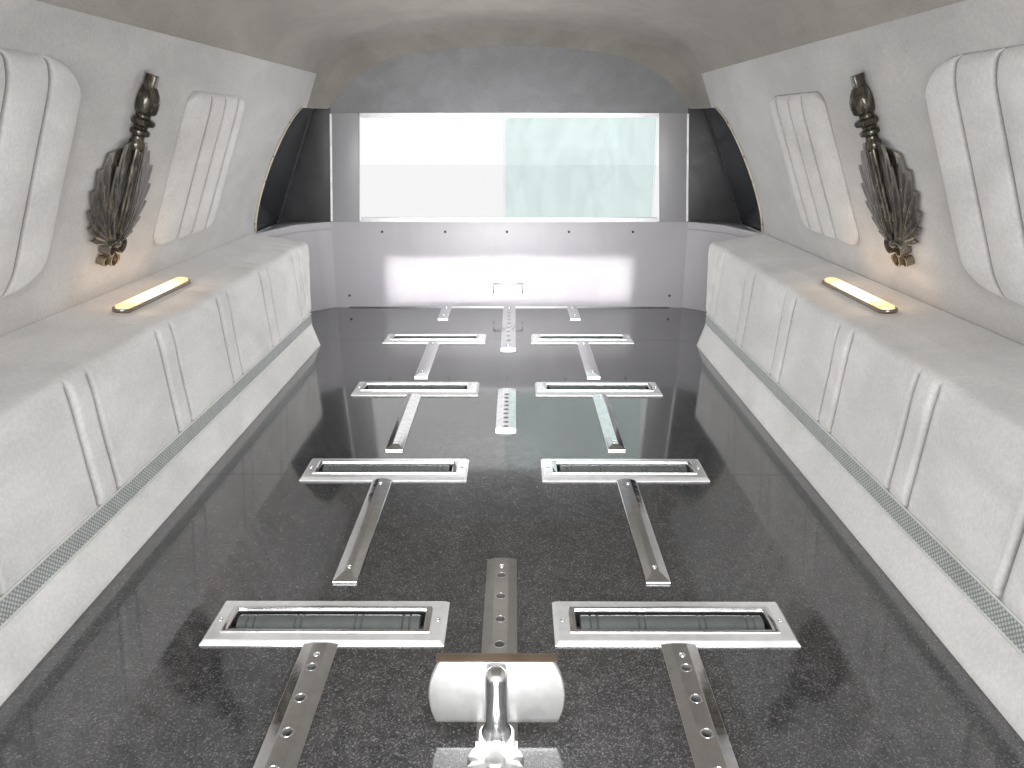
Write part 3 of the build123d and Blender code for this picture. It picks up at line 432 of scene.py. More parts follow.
def lathe(mesh, profile, place, axis, steps=32):
    rail = [mesh.verts.new(Vector((radius, 0, along))) for radius, along in profile]
    edges = [mesh.edges.new(pair) for pair in zip(rail[:-1], rail[1:])]
    bmesh.ops.spin(mesh, geom=rail + edges, cent=(0, 0, 0), axis=(0, 0, 1), angle=2 * pi,
                   steps=steps, use_merge=True)
    found = set(rail)
    reach = set(rail)
    while found:
        found = {e.other_vert(v) for v in found for e in v.link_edges} - reach
        reach |= found
    bmesh.ops.remove_doubles(mesh, verts=list(reach), dist=0.000001)
    reach = [v for v in reach if v.is_valid]
    faces = list({f for v in reach for f in v.link_faces})
    bmesh.ops.recalc_face_normals(mesh, faces=faces)
    turn = Vector((0, 0, 1)).rotation_difference(Vector(axis)).to_matrix().to_4x4()
    bmesh.ops.transform(mesh, matrix=Matrix.Translation(place) @ turn, verts=reach)
    return reach


def boxAt(mesh, low, high, bevel=0.0):
    low = Vector(low)
    high = Vector(high)
    made = bmesh.ops.create_cube(mesh, size=1.0)["verts"]
    matrix = Matrix.Translation((low + high) / 2) @ Matrix.Diagonal((*(high - low), 1))
    bmesh.ops.transform(mesh, matrix=matrix, verts=made)
    if bevel:
        soften(mesh, list({e for v in made for e in v.link_edges}), bevel)
    return made


def sheetFrom(mesh, across, along, place):
    made = bmesh.ops.create_grid(mesh, x_segments=across, y_segments=along, size=0.5)["verts"]
    for vertex in made:
        vertex.co = place(vertex.co.x + 0.5, vertex.co.y + 0.5)
    return made


def screwAt(mesh, place, axis, radius):
    # a domed head with a raised cross
    head = [(0.0, 0.55 * radius), (0.5 * radius, 0.48 * radius), (0.86 * radius, 0.26 * radius),
            (radius, 0.05 * radius), (radius, -0.1 * radius), (0.0, -0.1 * radius)]
    lathe(mesh, head, place, axis, 16)
    for turn in (0.0, pi / 2):
        bar = bmesh.ops.create_cube(mesh, size=1.0)["verts"]
        face = Vector((0, 0, 1)).rotation_difference(Vector(axis)).to_matrix().to_4x4()
        scale = Matrix.Diagonal((1.15 * radius, 0.22 * radius, 0.12 * radius, 1))
        lift = Matrix.Translation((0, 0, 0.52 * radius))
        matrix = Matrix.Translation(place) @ face @ Matrix.Rotation(turn, 4, "Z") @ lift @ scale
        bmesh.ops.transform(mesh, matrix=matrix, verts=bar)


# A sheet of cloth swells between its held vertices; the result is kept in the mesh
cloth = {"pressure": 2.0, "slack": -0.004, "frames": 16, "quality": 5, "mass": 0.25, "tension": 18,
         "compression": 12, "bending": 0.35, "evenings": 10, "benchReach": 0.0045, "padReach": 0.0035}


def swell(piece, held, reach):
    start = [v.co.copy() for v in piece.data.vertices]
    group = piece.vertex_groups.new(name="held")
    group.add(held, 1.0, "REPLACE")
    modifier = piece.modifiers.new("Cloth", "CLOTH")
    settings = modifier.settings
    settings.quality = cloth["quality"]
    settings.mass = cloth["mass"]
    settings.tension_stiffness = cloth["tension"]
    settings.compression_stiffness = cloth["compression"]
    settings.bending_stiffness = cloth["bending"]
    settings.use_pressure = True
    settings.uniform_pressure_force = cloth["pressure"]
    settings.shrink_min = cloth["slack"]
    settings.effector_weights.gravity = 0
    settings.vertex_group_mass = "held"
    modifier.point_cache.frame_start = 1
    modifier.point_cache.frame_end = cloth["frames"]
    for step in range(1, cloth["frames"] + 1):
        scene.frame_set(step)
    swollen = piece.evaluated_get(bpy.context.evaluated_depsgraph_get()).to_mesh()
    moves = [new.co - rest for rest, new in zip(start, swollen.vertices)]
    moves = [move.normalized() * min(move.length, reach) for move in moves]
    beside = [[] for _ in moves]
    for edge in piece.data.edges:
        first, second = edge.vertices
        beside[first].append(second)
        beside[second].append(first)
    for index in held:
        beside[index] = []
    for _ in range(cloth["evenings"]):
        moves = [sum((moves[n] for n in near), move) / (len(near) + 1) for move, near in zip(moves, beside)]
    for vertex, rest, move in zip(piece.data.vertices, start, moves):
        vertex.co = rest + move
    piece.modifiers.remove(modifier)
    piece.vertex_groups.remove(group)
    scene.frame_set(1)


# Bench covers: puffed panels between pairs of sewn seams, a rounded ridge and a soft front end
bench = {
    "footX": 0.577, "footUp": 0.084, "ridgeX": 0.592, "ridgeUp": 0.279, "backX": 0.7592, "backUp": 0.3005,
    "ridgeRadius": 0.0210, "firstSeam": 0.191, "seamPitch": 0.280, "seamPair": 0.056, "seamCount": 7,
    "grooveHalf": 0.0098, "grooveDepth": 0.0080, "panelCrown": 0.0062, "stripCrown": 0.0040,
    "seamHalf": 0.0044, "endFoot": 0.712, "endTop": 0.862, "endRadius": 0.010, "rearRadius": 0.006,
    "deepest": 0.012,
    "panelSteps": 32, "stripSteps": 14, "endSteps": 26, "acrossSteps": 74, "widestStrip": 0.1,
    "heldNear": 0.0040, "heldFromX": 0.66, "seamShade": 0.45, "thickness": 0.012, "endInset": 0.004,
}


def benchOutline():
    foot = Vector((bench["footX"], 0, bench["footUp"]))
    ridge = Vector((bench["ridgeX"], 0, bench["ridgeUp"]))
    back = Vector((bench["backX"], 0, bench["backUp"]))
    rise = (ridge - foot).normalized()
    top = (back - ridge).normalized()
    half = rise.angle(top) / 2
    cut = bench["ridgeRadius"] * sin(half) / cos(half)
    points = []
    face = ridge - rise * cut
    start = ridge + top * cut
    for n in range(31):
        points.append(foot.lerp(face, n / 30))
    for n in range(1, 12):
        share = n / 12
        a = face.lerp(ridge, share)
        b = ridge.lerp(start, share)
        points.append(a.lerp(b, share))
    for n in range(0, 17):
        points.append(start.lerp(back, n / 16))
    return points, (face - foot).length


benchPoints, benchFaceLength = benchOutline()
benchLengths = [0.0]
for first, second in zip(benchPoints[:-1], benchPoints[1:]):
    benchLengths.append(benchLengths[-1] + (second - first).length)


def onBench(distance):
    for n in range(len(benchPoints) - 1):
        if distance <= benchLengths[n + 1] or n == len(benchPoints) - 2:
            share = (distance - benchLengths[n]) / (benchLengths[n + 1] - benchLengths[n])
            point = benchPoints[n].lerp(benchPoints[n + 1], share)
            run = (benchPoints[n + 1] - benchPoints[n]).normalized()
            return point, Vector((-run.z, 0, run.x))


benchSeams = [
    rearEdge + bench["firstSeam"] + bench["seamPitch"] * n + side
    for n in range(bench["seamCount"]) for side in (0, bench["seamPair"])
]


def gathered(count, gather=0.86):
    # shares from 0 to 1 that crowd towards both ends
    return [n / count - gather * sin(2 * pi * n / count) / (2 * pi) for n in range(count + 1)]


def benchPuff(y, distance):
    below = max([s for s in benchSeams if s <= y + 1e-6], default=rearEdge - 0.09)
    above = min([s for s in benchSeams if s > y + 1e-6], default=benchSeams[-1] + 0.17)
    width = above - below
    share = min(1.0, max(0.0, (y - below) / width))
    crown = bench["stripCrown"] if width < bench["widestStrip"] else bench["panelCrown"]
    puff = crown * sin(pi * share) ** 0.30
    near = min(y - below, above - y)
    groove = bench["grooveDepth"] * max(0.0, 1 - near / bench["grooveHalf"]) ** 1.2
    fade = smoothStep((benchFaceLength + 0.018 - distance) / 0.020)
    puffFade = smoothStep((benchFaceLength + 0.020 - distance) / 0.05)
    footFade = smoothStep(distance / 0.014)
    groove *= fade * smoothStep(distance / 0.006)
    # the second value is how strongly painted shade darkens the cloth here, in the seam grooves
    return puff * puffFade * footFade - groove, smoothStep(1.25 - near / bench["seamHalf"]) * fade


def benchEnd(up):
    return bench["endFoot"] + (bench["endTop"] - bench["endFoot"]) * up / wallFoot["up"]


benchStations = [rearEdge + 0.001]
for seam in benchSeams:
    last = benchStations[-1]
    count = bench["stripSteps"] if seam - last < bench["widestStrip"] else bench["panelSteps"]
    benchStations += [last + (seam - last) * share for share in gathered(count)[1:]]
benchColumns = len(benchStations) - 1 + bench["endSteps"]
seams = []


def benchPlace(u, v):
    distance = v * benchLengths[-1]
    point, normal = onBench(distance)
    end = benchEnd(point.z) - 0.001
    column = round(u * benchColumns)
    if column < len(benchStations):
        y = benchStations[column]
    else:
        share = (column - len(benchStations) + 1) / bench["endSteps"]
        y = benchSeams[-1] + (end - benchSeams[-1]) * (1 - (1 - share) ** 1.7)
    inset = 0.0
    for near, radius in ((end - y, bench["endRadius"]), (y - rearEdge - 0.001, bench["rearRadius"])):
        if near < radius:
            inset = max(inset, radius - sqrt(max(0.0, radius ** 2 - (radius - near) ** 2)))
    puff, seam = benchPuff(y, distance)
    place = point + normal * (puff - min(inset, bench["deepest"]))
    seams.append(seam)
    return Vector((place.x, y, deckTop + place.z))


# painted shade for the seam grooves, kept per point in the "seam" attribute
def paintSeamShade(piece, values):
    seam = piece.data.attributes.new("seam", "FLOAT", "POINT")
    seam.data.foreach_set("value", values)


def makeBenchCover():
    mesh = bmesh.new()
    sheetFrom(mesh, benchColumns, bench["acrossSteps"], benchPlace)
    held = []
    for vertex in mesh.verts:
        near = min(abs(vertex.co.y - s) for s in benchSeams)
        if vertex.is_boundary or near < bench["heldNear"] or vertex.co.x > bench["heldFromX"]:
            held.append(vertex.index)
    piece = finishPiece(mesh, "bench_cover_soft_right", "suede", 60.0)
    swell(piece, held, cloth["benchReach"])
    paintSeamShade(piece, [bench["seamShade"] * value for value in seams])
    return piece


def closeBench(piece):
    # the cover's rim turns inwards; flat ends and one sheet from foot to back close it, all inside the bench
    mesh = meshOf(piece.data)
    made = onlyVerts(bmesh.ops.extrude_edge_only(mesh, edges=[e for e in mesh.edges if e.is_boundary]))
    for vertex in made:
        up = vertex.co.z - deckTop
        if up > bench["backUp"] - 0.004 and vertex.co.x > bench["backX"] - 0.004:
            vertex.co.z -= bench["thickness"]
        elif up < bench["footUp"] + 0.003:
            vertex.co.x += bench["thickness"]
        else:
            vertex.co += Vector((0.010, 0, -0.008))
    feet = [v for v in made if v.co.z < min(w.co.z for w in made) + 0.003]
    backs = [v for v in made if v.co.x > max(w.co.x for w in made) - 0.003]
    ends = [pick(side, key=lambda v: v.co.y) for pick in (min, max) for side in (feet, backs)]
    along = set(feet + backs) - set(ends)
    loops = [e for e in mesh.edges if e.is_boundary and not along & set(e.verts)]
    for low, high, inwards in ((*ends[:2], bench["endInset"]), (*ends[2:], -bench["endInset"])):
        loop = [e for e in loops if abs(e.verts[0].co.y - low.co.y) < 0.2]
        bmesh.ops.contextual_create(mesh, geom=loop + [mesh.edges.new((low, high))])
        for vertex in {v for e in loop for v in e.verts}:
            vertex.co.y += inwards
    bmesh.ops.edgeloop_fill(mesh, edges=[e for e in mesh.edges if e.is_boundary])
    bmesh.ops.recalc_face_normals(mesh, faces=mesh.faces)
    if mesh.calc_volume(signed=True) < 0:
        bmesh.ops.reverse_faces(mesh, faces=mesh.faces)
    mesh.to_mesh(piece.data)
    shadeSmooth(piece.data)
    return mesh


benchRight = makeBenchCover()
leftMesh = closeBench(benchRight)
flip(leftMesh, leftMesh.verts, leftMesh.faces)
benchLeft = finishPiece(leftMesh, "bench_cover_soft_left", "suede", 60.0)
for piece, node in ((benchRight, "bench_cover_right"), (benchLeft, "bench_cover_left")):
    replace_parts(piece, node)
print("bench covers made")


# Wall pads: crowned channels inside a rounded outline, sewn to the wall
pads = {
    "rear": {"start": -0.880, "widths": [0.092] * 7, "low": 0.366, "high": 0.692, "corner": 0.084,
             "footCorner": 0.084, "rollFront": 0.026, "rollRear": 0.026, "bendTop": 0.020, "bendFoot": 0.022},
    "front": {"start": 0.153, "widths": [0.053, 0.078, 0.079, 0.112], "low": 0.366, "high": 0.668,
              "corner": 0.034, "footCorner": 0.050, "rollFront": 0.020, "rollRear": 0.040, "bendTop": 0.010,
              "bendFoot": 0.0},
    "base": 0.0050, "crown": 0.0070, "columns": 16, "rows": 84, "grooveHalf": 0.0052, "grooveDepth": 0.0095,
    "seamHalf": 0.0040, "heldNear": 0.0035, "bendReach": 0.050, "bendWidth": 0.09, "edgeRoll": 0.012,
}


def wallFrame(y, up):
    # local x rearwards, y up the slope, z into the room, on the right-hand wall
    xAxis = Vector((0, -1, 0))
    zAxis = Vector((-cos(leanAngle), 0, -sin(leanAngle)))
    yAxis = zAxis.cross(xAxis)
    matrix = Matrix((xAxis, yAxis, zAxis)).transposed().to_4x4()
    matrix.translation = Vector((wallX(up) - fabricGap / cos(leanAngle), y, deckTop + up))
    return matrix


def makeWallPad(key):
    pad = pads[key]
    length = sum(pad["widths"]) - 0.004
    height = (pad["high"] - pad["low"]) / cos(leanAngle)
    joints = [0.0]
    for width in pad["widths"]:
        joints.append(joints[-1] + width)
    joints = [min(max(j - joints[-1] / 2, -length / 2), length / 2) for j in joints]
    stations = [joints[0]]
    for start, end in zip(joints[:-1], joints[1:]):
        stations += [start + (end - start) * share for share in gathered(pads["columns"])[1:]]
    rows = gathered(pads["rows"], 0.6)
    seams = []
    held = []

    def cornerInset(x, front, rear):
        inset = 0.0
        for near, corner in ((x + length / 2, front), (length / 2 - x, rear)):
            if near < corner:
                inset = max(inset, corner - sqrt(max(0.0, corner ** 2 - (corner - near) ** 2)))
        return inset

    def place(u, v):
        # local x runs rearwards, so the pad's front end is at its lowest x
        x = stations[round(u * (len(stations) - 1))]
        low = -height / 2 + cornerInset(x, pad["footCorner"], pad["corner"])
        high = height / 2 - cornerInset(x, pad["corner"], pad["corner"])
        y = low + (high - low) * rows[round(v * pads["rows"])]
        span = next(n for n in range(len(joints) - 1) if x <= joints[n + 1] + 1e-6)
        share = min(1.0, max(0.0, (x - joints[span]) / (joints[span + 1] - joints[span])))
        if span == 0:
            share = max(share, 0.5)
        if span == len(joints) - 2:
            share = min(share, 0.5)
        crown = pads["crown"] * sin(pi * share) ** 0.30 if 0 < share < 1 else 0.0
        inner = min(abs(x - j) for j in joints[1:-1])
        groove = pads["grooveDepth"] * max(0.0, 1 - inner / pads["grooveHalf"]) ** 1.2
        ends = min((x + length / 2) / pad["rollFront"], (length / 2 - x) / pad["rollRear"])
        edges = min(y - low, high - y) / pads["edgeRoll"]
        roll = min(sqrt(max(0.0, 1 - (1 - min(1.0, share)) ** 2)) for share in (ends, edges))
        # painted shade along the pad's seam grooves
        seams.append(smoothStep(1.2 - inner / pads["seamHalf"]) * smoothStep(edges * 1.5))
        # the channels lean rearwards at the pad's top and foot, as its corners do
        bend = pads["bendWidth"]
        lean = smoothStep((x + length / 2) / bend) * smoothStep((length / 2 - x) / bend)
        nearTop = max(0.0, 1 - (height / 2 - y) / pads["bendReach"])
        nearFoot = max(0.0, 1 - (y + height / 2) / pads["bendReach"])
        slide = lean * (pad["bendTop"] * nearTop ** 2 + pad["bendFoot"] * nearFoot ** 2)
        held.append(inner < pads["heldNear"])
        return Vector((x + slide, y, max(0.0, roll * (pads["base"] + crown - groove))))

    mesh = bmesh.new()
    sheetFrom(mesh, len(stations) - 1, pads["rows"], place)
    pinned = [v.index for v, onSeam in zip(mesh.verts, held) if v.is_boundary or onSeam]
    middle = pad["start"] + sum(pad["widths"]) / 2
    matrix = wallFrame(middle, (pad["low"] + pad["high"]) / 2)
    bmesh.ops.transform(mesh, matrix=matrix, verts=mesh.verts)
    piece = finishPiece(mesh, "wall_pad_" + key + "_right", "suede", 60.0)
    swell(piece, pinned, cloth["padReach"])
    paintSeamShade(piece, seams)
    closed = meshOf(piece.data)
    bmesh.ops.edgeloop_fill(closed, edges=[e for e in closed.edges if e.is_boundary])
    bmesh.ops.recalc_face_normals(closed, faces=closed.faces)
    closed.to_mesh(piece.data)
    flip(closed, closed.verts, closed.faces)
    twin = finishPiece(closed, "wall_pad_" + key + "_left", "suede", 60.0)
    for made in (piece, twin):
        shadeSmooth(made.data)
    return [piece, twin]


padPieces = makeWallPad("rear") + makeWallPad("front")
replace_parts(padPieces[0], "wall_pads")
print("wall pads made")


# Carried rigid pieces with softened edges
rounded = [
    # ending of the new name, finish, slot name (read only to pick the sharp edge angle), edge width in
    # metres, nodes
    ("polished", "plateSteel", "chrome", 0.0009, "roller_plates"),
    ("polished", "chrome", "chrome", 0.0010, "pin_rails", "pin_rail_centre_rear", "skid_bars"),
    ("polished", "chrome", "chrome", 0.0005, "rear_sill_plate"),
    ("rounded", "darkChrome", "lamp_bezel", 0.0012, "lamp_bezels"),
    ("lit", "lampLens", "lamp_lens", 0.0016, "lamp_lenses"),
    ("cloth", "headlining", "headlining", 0.0, "headliner", "front_cove"),
    ("cloth", "wallSuede", "suede", 0.0012, "wall_panels"),
    ("moulded", "darkTrim", "dark_trim", 0.0025, "rear_arch_trim"),
    ("moulded", "edging", "edging", 0.0012, "arch_trims"),
    ("board", "boardLaminate", "partition", 0.0010, "partition_lower"),
    ("board", "partition", "partition", 0.0010, "partition_posts"),
    ("cloth", "suedeDark", "suede_dark", 0.0010, "partition_upper"),
    ("board", "boardLaminate", "partition", 0.0015, "corner_panels"),
    ("board", "boardLaminate", "partition", 0.0020, "corner_sills"),
    ("moulded", "darkTrim", "dark_trim", 0.0015, "pillar_trims"),
    ("painted", "steel", "steel_frame", 0.0008, "floor_channels"),
    ("painted", "steel", "steel_frame", 0.0015, "floor_bearers", "upright_posts", "leaning_posts",
     "roof_bows", "side_rails"),
    ("board", "plywood", "board", 0.0010, "bench_box_left", "bench_box_right"),
]
shortNames = {"pin_rail_centre_rear": "centre_rail", "rear_sill_plate": "rear_sill"}
for ending, look, slotName, width, *carried in rounded:
    for node in carried:
        roundedCopy(node, f"{shortNames.get(node, node)}_{ending}", look, width, 2,
                    9.0 if slotName == "chrome" else 35.0)
for node, look in (("deck_board_rear", "deck"), ("deck_board_middle", "deck"), ("deck_board_front", "deck"),
                   ("roller_trays", "traySteel"), ("window_tracks", "aluminium"),
                   ("partition_glass", "clearGlass"), ("quarter_glass", "tintedGlass")):
    nodes[node].data.materials.clear()
    nodes[node].data.materials.append(finish[look])
print("rigid pieces finished")


# Bench strips: an embossed band between two bright rolled rims
strip = {"footX": 0.5728, "footUp": 0.0545, "topX": 0.5770, "topUp": 0.0856, "rim": 0.0034,
         "rise": 0.0012, "proud": 0.0008, "endGap": 0.0015}

stripBand = bmesh.new()
stripRims = bmesh.new()
stripFoot = Vector((strip["footX"], strip["footUp"]))
stripTop = Vector((strip["topX"], strip["topUp"]))
stripRun = (stripTop - stripFoot).normalized()
stripOut = Vector((-stripRun.y, stripRun.x))


def stripPlace(side, low, high, lift, rise=0.0):
    def place(u, v):
        along = stripFoot.lerp(stripTop, low + (high - low) * v)
        along += stripOut * (strip["proud"] + lift + rise * sqrt(max(0.0, 1 - (2 * v - 1) ** 2)))
        start = rearEdge + strip["endGap"]
        end = benchEnd(along.y) - strip["endGap"]
        return Vector((side * along.x, start + (end - start) * u, deckTop + along.y))
    return place


def addStrip(mesh, side, rows, place):
    faces = list({face for vertex in sheetFrom(mesh, 12, rows, place) for face in vertex.link_faces})
    backs = onlyVerts(bmesh.ops.extrude_face_region(mesh, geom=faces))
    inwards = Vector((-side * stripOut.x, 0, -stripOut.y)) * strip["proud"]
    bmesh.ops.translate(mesh, vec=inwards, verts=backs)
    bmesh.ops.recalc_face_normals(mesh, faces=mesh.faces)


rimShare = strip["rim"] / (stripTop - stripFoot).length
for side in (-1, 1):
    addStrip(stripBand, side, 2, stripPlace(side, 0.0, 1.0, 0.0))
    addStrip(stripRims, side, 6, stripPlace(side, 0.0, rimShare, 0.0004, strip["rise"]))
    addStrip(stripRims, side, 6, stripPlace(side, 1 - rimShare, 1.0, 0.0004, strip["rise"]))
stripPiece = finishPiece(stripBand, "bench_strips_embossed", "checker")
finishPiece(stripRims, "bench_strip_rims", "stripRim", 50.0)
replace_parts(stripPiece, "bench_strips")
print("bench strips made")


# Rollers: rubber sleeves with turned grooves and stub shafts, turned as one piece in the rubber finish
roller = {"radius": 0.0185, "half": 0.116, "edge": 0.0022, "groove": 0.0016, "grooveHalf": 0.0013,
          "grooves": (-0.103, -0.094, -0.042, -0.034, 0.034, 0.042, 0.094, 0.103),
          "shaft": 0.004, "shaftHalf": 0.127}


def rollerProfile():
    r = roller["radius"]
    h = roller["half"]
    e = roller["edge"]
    g = roller["grooveHalf"]
    points = [(0, -roller["shaftHalf"]), (roller["shaft"], -roller["shaftHalf"]), (roller["shaft"], -h),
              (r - e, -h), (r - 0.3 * e, -h + 0.3 * e), (r, -h + e)]
    d = roller["groove"]
    for place in roller["grooves"]:
        points += [(r, place - g), (r - 0.7 * d, place - 0.55 * g), (r - d, place),
                   (r - 0.7 * d, place + 0.55 * g), (r, place + g)]
    points += [(r, h - e), (r - 0.3 * e, h - 0.3 * e), (r - e, h), (roller["shaft"], h),
               (roller["shaft"], roller["shaftHalf"]), (0, roller["shaftHalf"])]
    return points


rollerMiddles = []
for side in ("left", "right"):
    for row in range(1, 5):
        node = f"roller_{side}_{row}"
        low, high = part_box(node)
        middle = (low + high) / 2
        rollerMiddles.append(middle)
        mesh = bmesh.new()
        lathe(mesh, rollerProfile(), middle, (1, 0, 0), 48)
        piece = finishPiece(mesh, node + "_grooved", "rollerRubber", 32.0, node)
        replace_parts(piece, node)
print("rollers turned:", len(rollerMiddles))


# Raised frames round the roller slots, screws and hole rims on the deck hardware
hardware = {"frameX": 0.1300, "frameY": 0.0270, "slotX": 0.1215, "slotY": 0.0192, "frameRise": 0.0020,
            "plateTop": 0.0070, "screwReach": 0.1385, "screwRadius": 0.0034, "railScrewIn": 0.022,
            "railScrew": 0.0040, "skidScrew": 0.0036, "sillScrew": 0.0038, "shortRail": 0.3}

frames = bmesh.new()
screws = bmesh.new()
for middle in rollerMiddles:
    top = deckTop + hardware["plateTop"]
    outer = bmesh.ops.create_grid(frames, x_segments=1, y_segments=1, size=0.5)["verts"]
    stretch = Matrix.Diagonal((2 * hardware["frameX"], 2 * hardware["frameY"], 1, 1))
    bmesh.ops.transform(frames, matrix=Matrix.Translation((middle.x, middle.y, top)) @ stretch, verts=outer)
    face = outer[0].link_faces[0]
    if face.normal.z < 0:
        bmesh.ops.reverse_faces(frames, faces=[face])
    bmesh.ops.inset_individual(frames, faces=[face], thickness=hardware["frameY"] - hardware["slotY"])
    for vertex in face.verts:
        vertex.co.x = middle.x + (hardware["slotX"] if vertex.co.x > middle.x else -hardware["slotX"])
    bmesh.ops.delete(frames, geom=[face], context="FACES_ONLY")
    for side in (-1, 1):
        screwAt(screws, (middle.x + side * hardware["screwReach"], middle.y, top), (0, 0, 1),
                hardware["screwRadius"])
lifted = onlyVerts(bmesh.ops.extrude_face_region(frames, geom=frames.faces[:]))
bmesh.ops.translate(frames, vec=(0, 0, hardware["frameRise"]), verts=lifted)
bmesh.ops.recalc_face_normals(frames, faces=frames.faces)
lifted = set(lifted)
soften(frames, [e for e in frames.edges if set(e.verts) <= lifted and e.calc_face_angle(0.0) > 0.5], 0.0009)
finishPiece(frames, "roller_slot_frames", "chrome")

railTop = deckTop + hardware["plateTop"]
railEnds = [(0.2175, -1.140, -0.6523), (-0.2175, -1.140, -0.6523), (0, -1.140, -0.458), (0, 0.050, 0.307),
            (0, 0.665, 1.192)]
for x, low, high in railEnds:
    for y in (low + hardware["railScrewIn"], high - hardware["railScrewIn"]):
        if high - low > hardware["shortRail"] or y > (low + high) / 2:
            screwAt(screws, (x, y, railTop), (0, 0, 1), hardware["railScrew"])
skidEnds = [(-0.516, -0.1923), (-0.056, 0.2677), (0.404, 0.7277), (1.023, 1.192)]
for x in (-0.2175, 0.2175):
    for low, high in skidEnds:
        for y in (low + 0.034, high - 0.020):
            screwAt(screws, (x, y, railTop), (0, 0, 1), hardware["skidScrew"])
for n in range(8):
    place = (n * 0.13 - 0.455, rearEdge + 0.026, deckTop + 0.002)
    screwAt(screws, place, (0, 0, 1), hardware["sillScrew"])
finishPiece(screws, "deck_screws", "chrome")

# The round holes take a pin; the others have flat sides in the CAD mesh, which the bore has to hide
holes = {"pitch": 0.0508, "margin": 0.0445, "radius": 0.00575, "rimOut": 0.0014, "rimRise": 0.0003,
         "boreDepth": 0.0085, "boreTop": -0.0002, "boreOut": 0.0004, "roundIn": 0.00006, "facetIn": 0.00026,
         "roundX": 0, "round": (-0.5025, -0.8073, -0.8581)}
rims = bmesh.new()
bores = bmesh.new()
for x, low, high in railEnds:
    pitch = holes["pitch"] / 2 if high - low < hardware["shortRail"] else holes["pitch"]
    radius = min(holes["radius"], pitch / 5)
    profile = [(radius - 0.0001, -0.0020), (radius, -0.0004),
               (radius + 0.4 * holes["rimOut"], holes["rimRise"]),
               (radius + holes["rimOut"], holes["rimRise"]), (radius + holes["rimOut"] + 0.0003, -0.0001),
               (radius - 0.0001, -0.0020)]
    y = high - holes["margin"]
    while y > low + 0.2 * holes["margin"]:
        lathe(rims, profile, (x, y, railTop), (0, 0, 1), 20)
        isRound = x == holes["roundX"] and any(abs(y - middle) < 0.002 for middle in holes["round"])
        inner = radius - holes["roundIn" if isRound else "facetIn"]
        outer = radius + holes["boreOut"]
        bore = [(inner, -holes["boreDepth"]), (inner, holes["boreTop"]), (outer, holes["boreTop"]),
                (outer, -holes["boreDepth"]), (inner, -holes["boreDepth"])]
        # the bore walls carry painted shade for the inside of each hole
        lathe(bores, bore, (x, y, railTop), (0, 0, 1), 20)
        y -= pitch
finishPiece(rims, "rail_hole_rims", "chrome")
finishPiece(bores, "rail_hole_walls", "boreSteelPaintedShade", 60.0)
print("deck hardware finished")


# Dark screws of the partition, the window edging and the latch outline
partition = {
    # rows of screws: height, and places across; the latch: left, low, right and high edges of three bars
    "screws": ((0.262, (-0.650, -0.432, -0.218, -0.008, 0.202, 0.419, 0.632)), (0.042, (-0.557, 0.557))),
    "screwRadius": 0.0045, "edgingFoot": 0.600, "edgingHead": 0.578, "edgingWidth": 0.0062,
    "latch": ((-0.057, 0.082, 0.047, 0.086), (-0.057, 0.050, -0.053, 0.082), (0.043, 0.050, 0.047, 0.082)),
}
darkScrews = bmesh.new()
for up, places in partition["screws"]:
    for x in places:
        screwAt(darkScrews, (x, frontEdge, deckTop + up), (0, -1, 0), partition["screwRadius"])
finishPiece(darkScrews, "partition_screws", "screwBlack")

windowLow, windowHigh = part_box("partition_posts")
edging = bmesh.new()
for side in (-1, 1):
    foot = Vector((side * partition["edgingFoot"], frontEdge - 0.003, windowLow.z + 0.002))
    head = Vector((side * partition["edgingHead"], frontEdge - 0.003, windowHigh.z - 0.002))
    half = partition["edgingWidth"] / 2
    for vertex in boxAt(edging, (-half, 0.0, 0.0), (half, 0.0031, 1.0)):
        vertex.co = Vector((vertex.co.x, vertex.co.y, 0)) + foot.lerp(head, vertex.co.z)
soften(edging, edging.edges[:], 0.0006)
finishPiece(edging, "window_post_edging", "brightEdge")

latch = bmesh.new()
for left, low, right, high in partition["latch"]:
    boxAt(latch, (left, frontEdge - 0.0025, deckTop + low), (right, frontEdge + 0.0002, deckTop + high),
          0.0005)
finishPiece(latch, "partition_latch_frame", "darkChrome")
print("partition finished")


# Casket stop: turned post with a domed top, fluted knob, bowed plate and pad
stop = {"postY": -0.8073, "knobY": -0.8581, "footLow": 0.0073, "footTop": 0.0153, "footHalf": 0.019,
        "pinRadius": 0.00565, "pinLow": -0.0150, "knobRadius": 0.0285, "flutes": 6, "fluteDepth": 0.0042,
        "fluteFrom": 0.016, "lipHalf": 0.0615}

base = bmesh.new()
foot = bmesh.ops.create_circle(base, cap_ends=True, segments=48, radius=stop["footHalf"])["verts"]
for vertex in foot:
    middle = stop["postY"] if vertex.co.y > 0.0001 else stop["knobY"]
    vertex.co = Vector((vertex.co.x, vertex.co.y + middle, deckTop + stop["footLow"]))
topVerts = onlyVerts(bmesh.ops.extrude_face_region(base, geom=[foot[0].link_faces[0]]))
bmesh.ops.translate(base, vec=(0, 0, stop["footTop"] - stop["footLow"]), verts=topVerts)
bmesh.ops.recalc_face_normals(base, faces=base.faces)
rim = [e for e in base.edges if all(abs(v.co.z - deckTop - stop["footTop"]) < 0.0001 for v in e.verts)]
soften(base, rim, 0.0022, 4)
for y in (stop["postY"], stop["knobY"]):
    pinProfile = [(0, stop["pinLow"]), (0.0040, stop["pinLow"]), (stop["pinRadius"], stop["pinLow"] + 0.0018),
                  (stop["pinRadius"], stop["footLow"] + 0.001), (0, stop["footLow"] + 0.001)]
    lathe(base, pinProfile, (0, y, deckTop), (0, 0, 1), 24)
postFoot = [(0.0, -0.001), (0.0160, -0.001), (0.0152, 0.003), (0.0124, 0.008), (0.0112, 0.014)]
postProfile = [(radius, stop["footTop"] + up) for radius, up in postFoot]
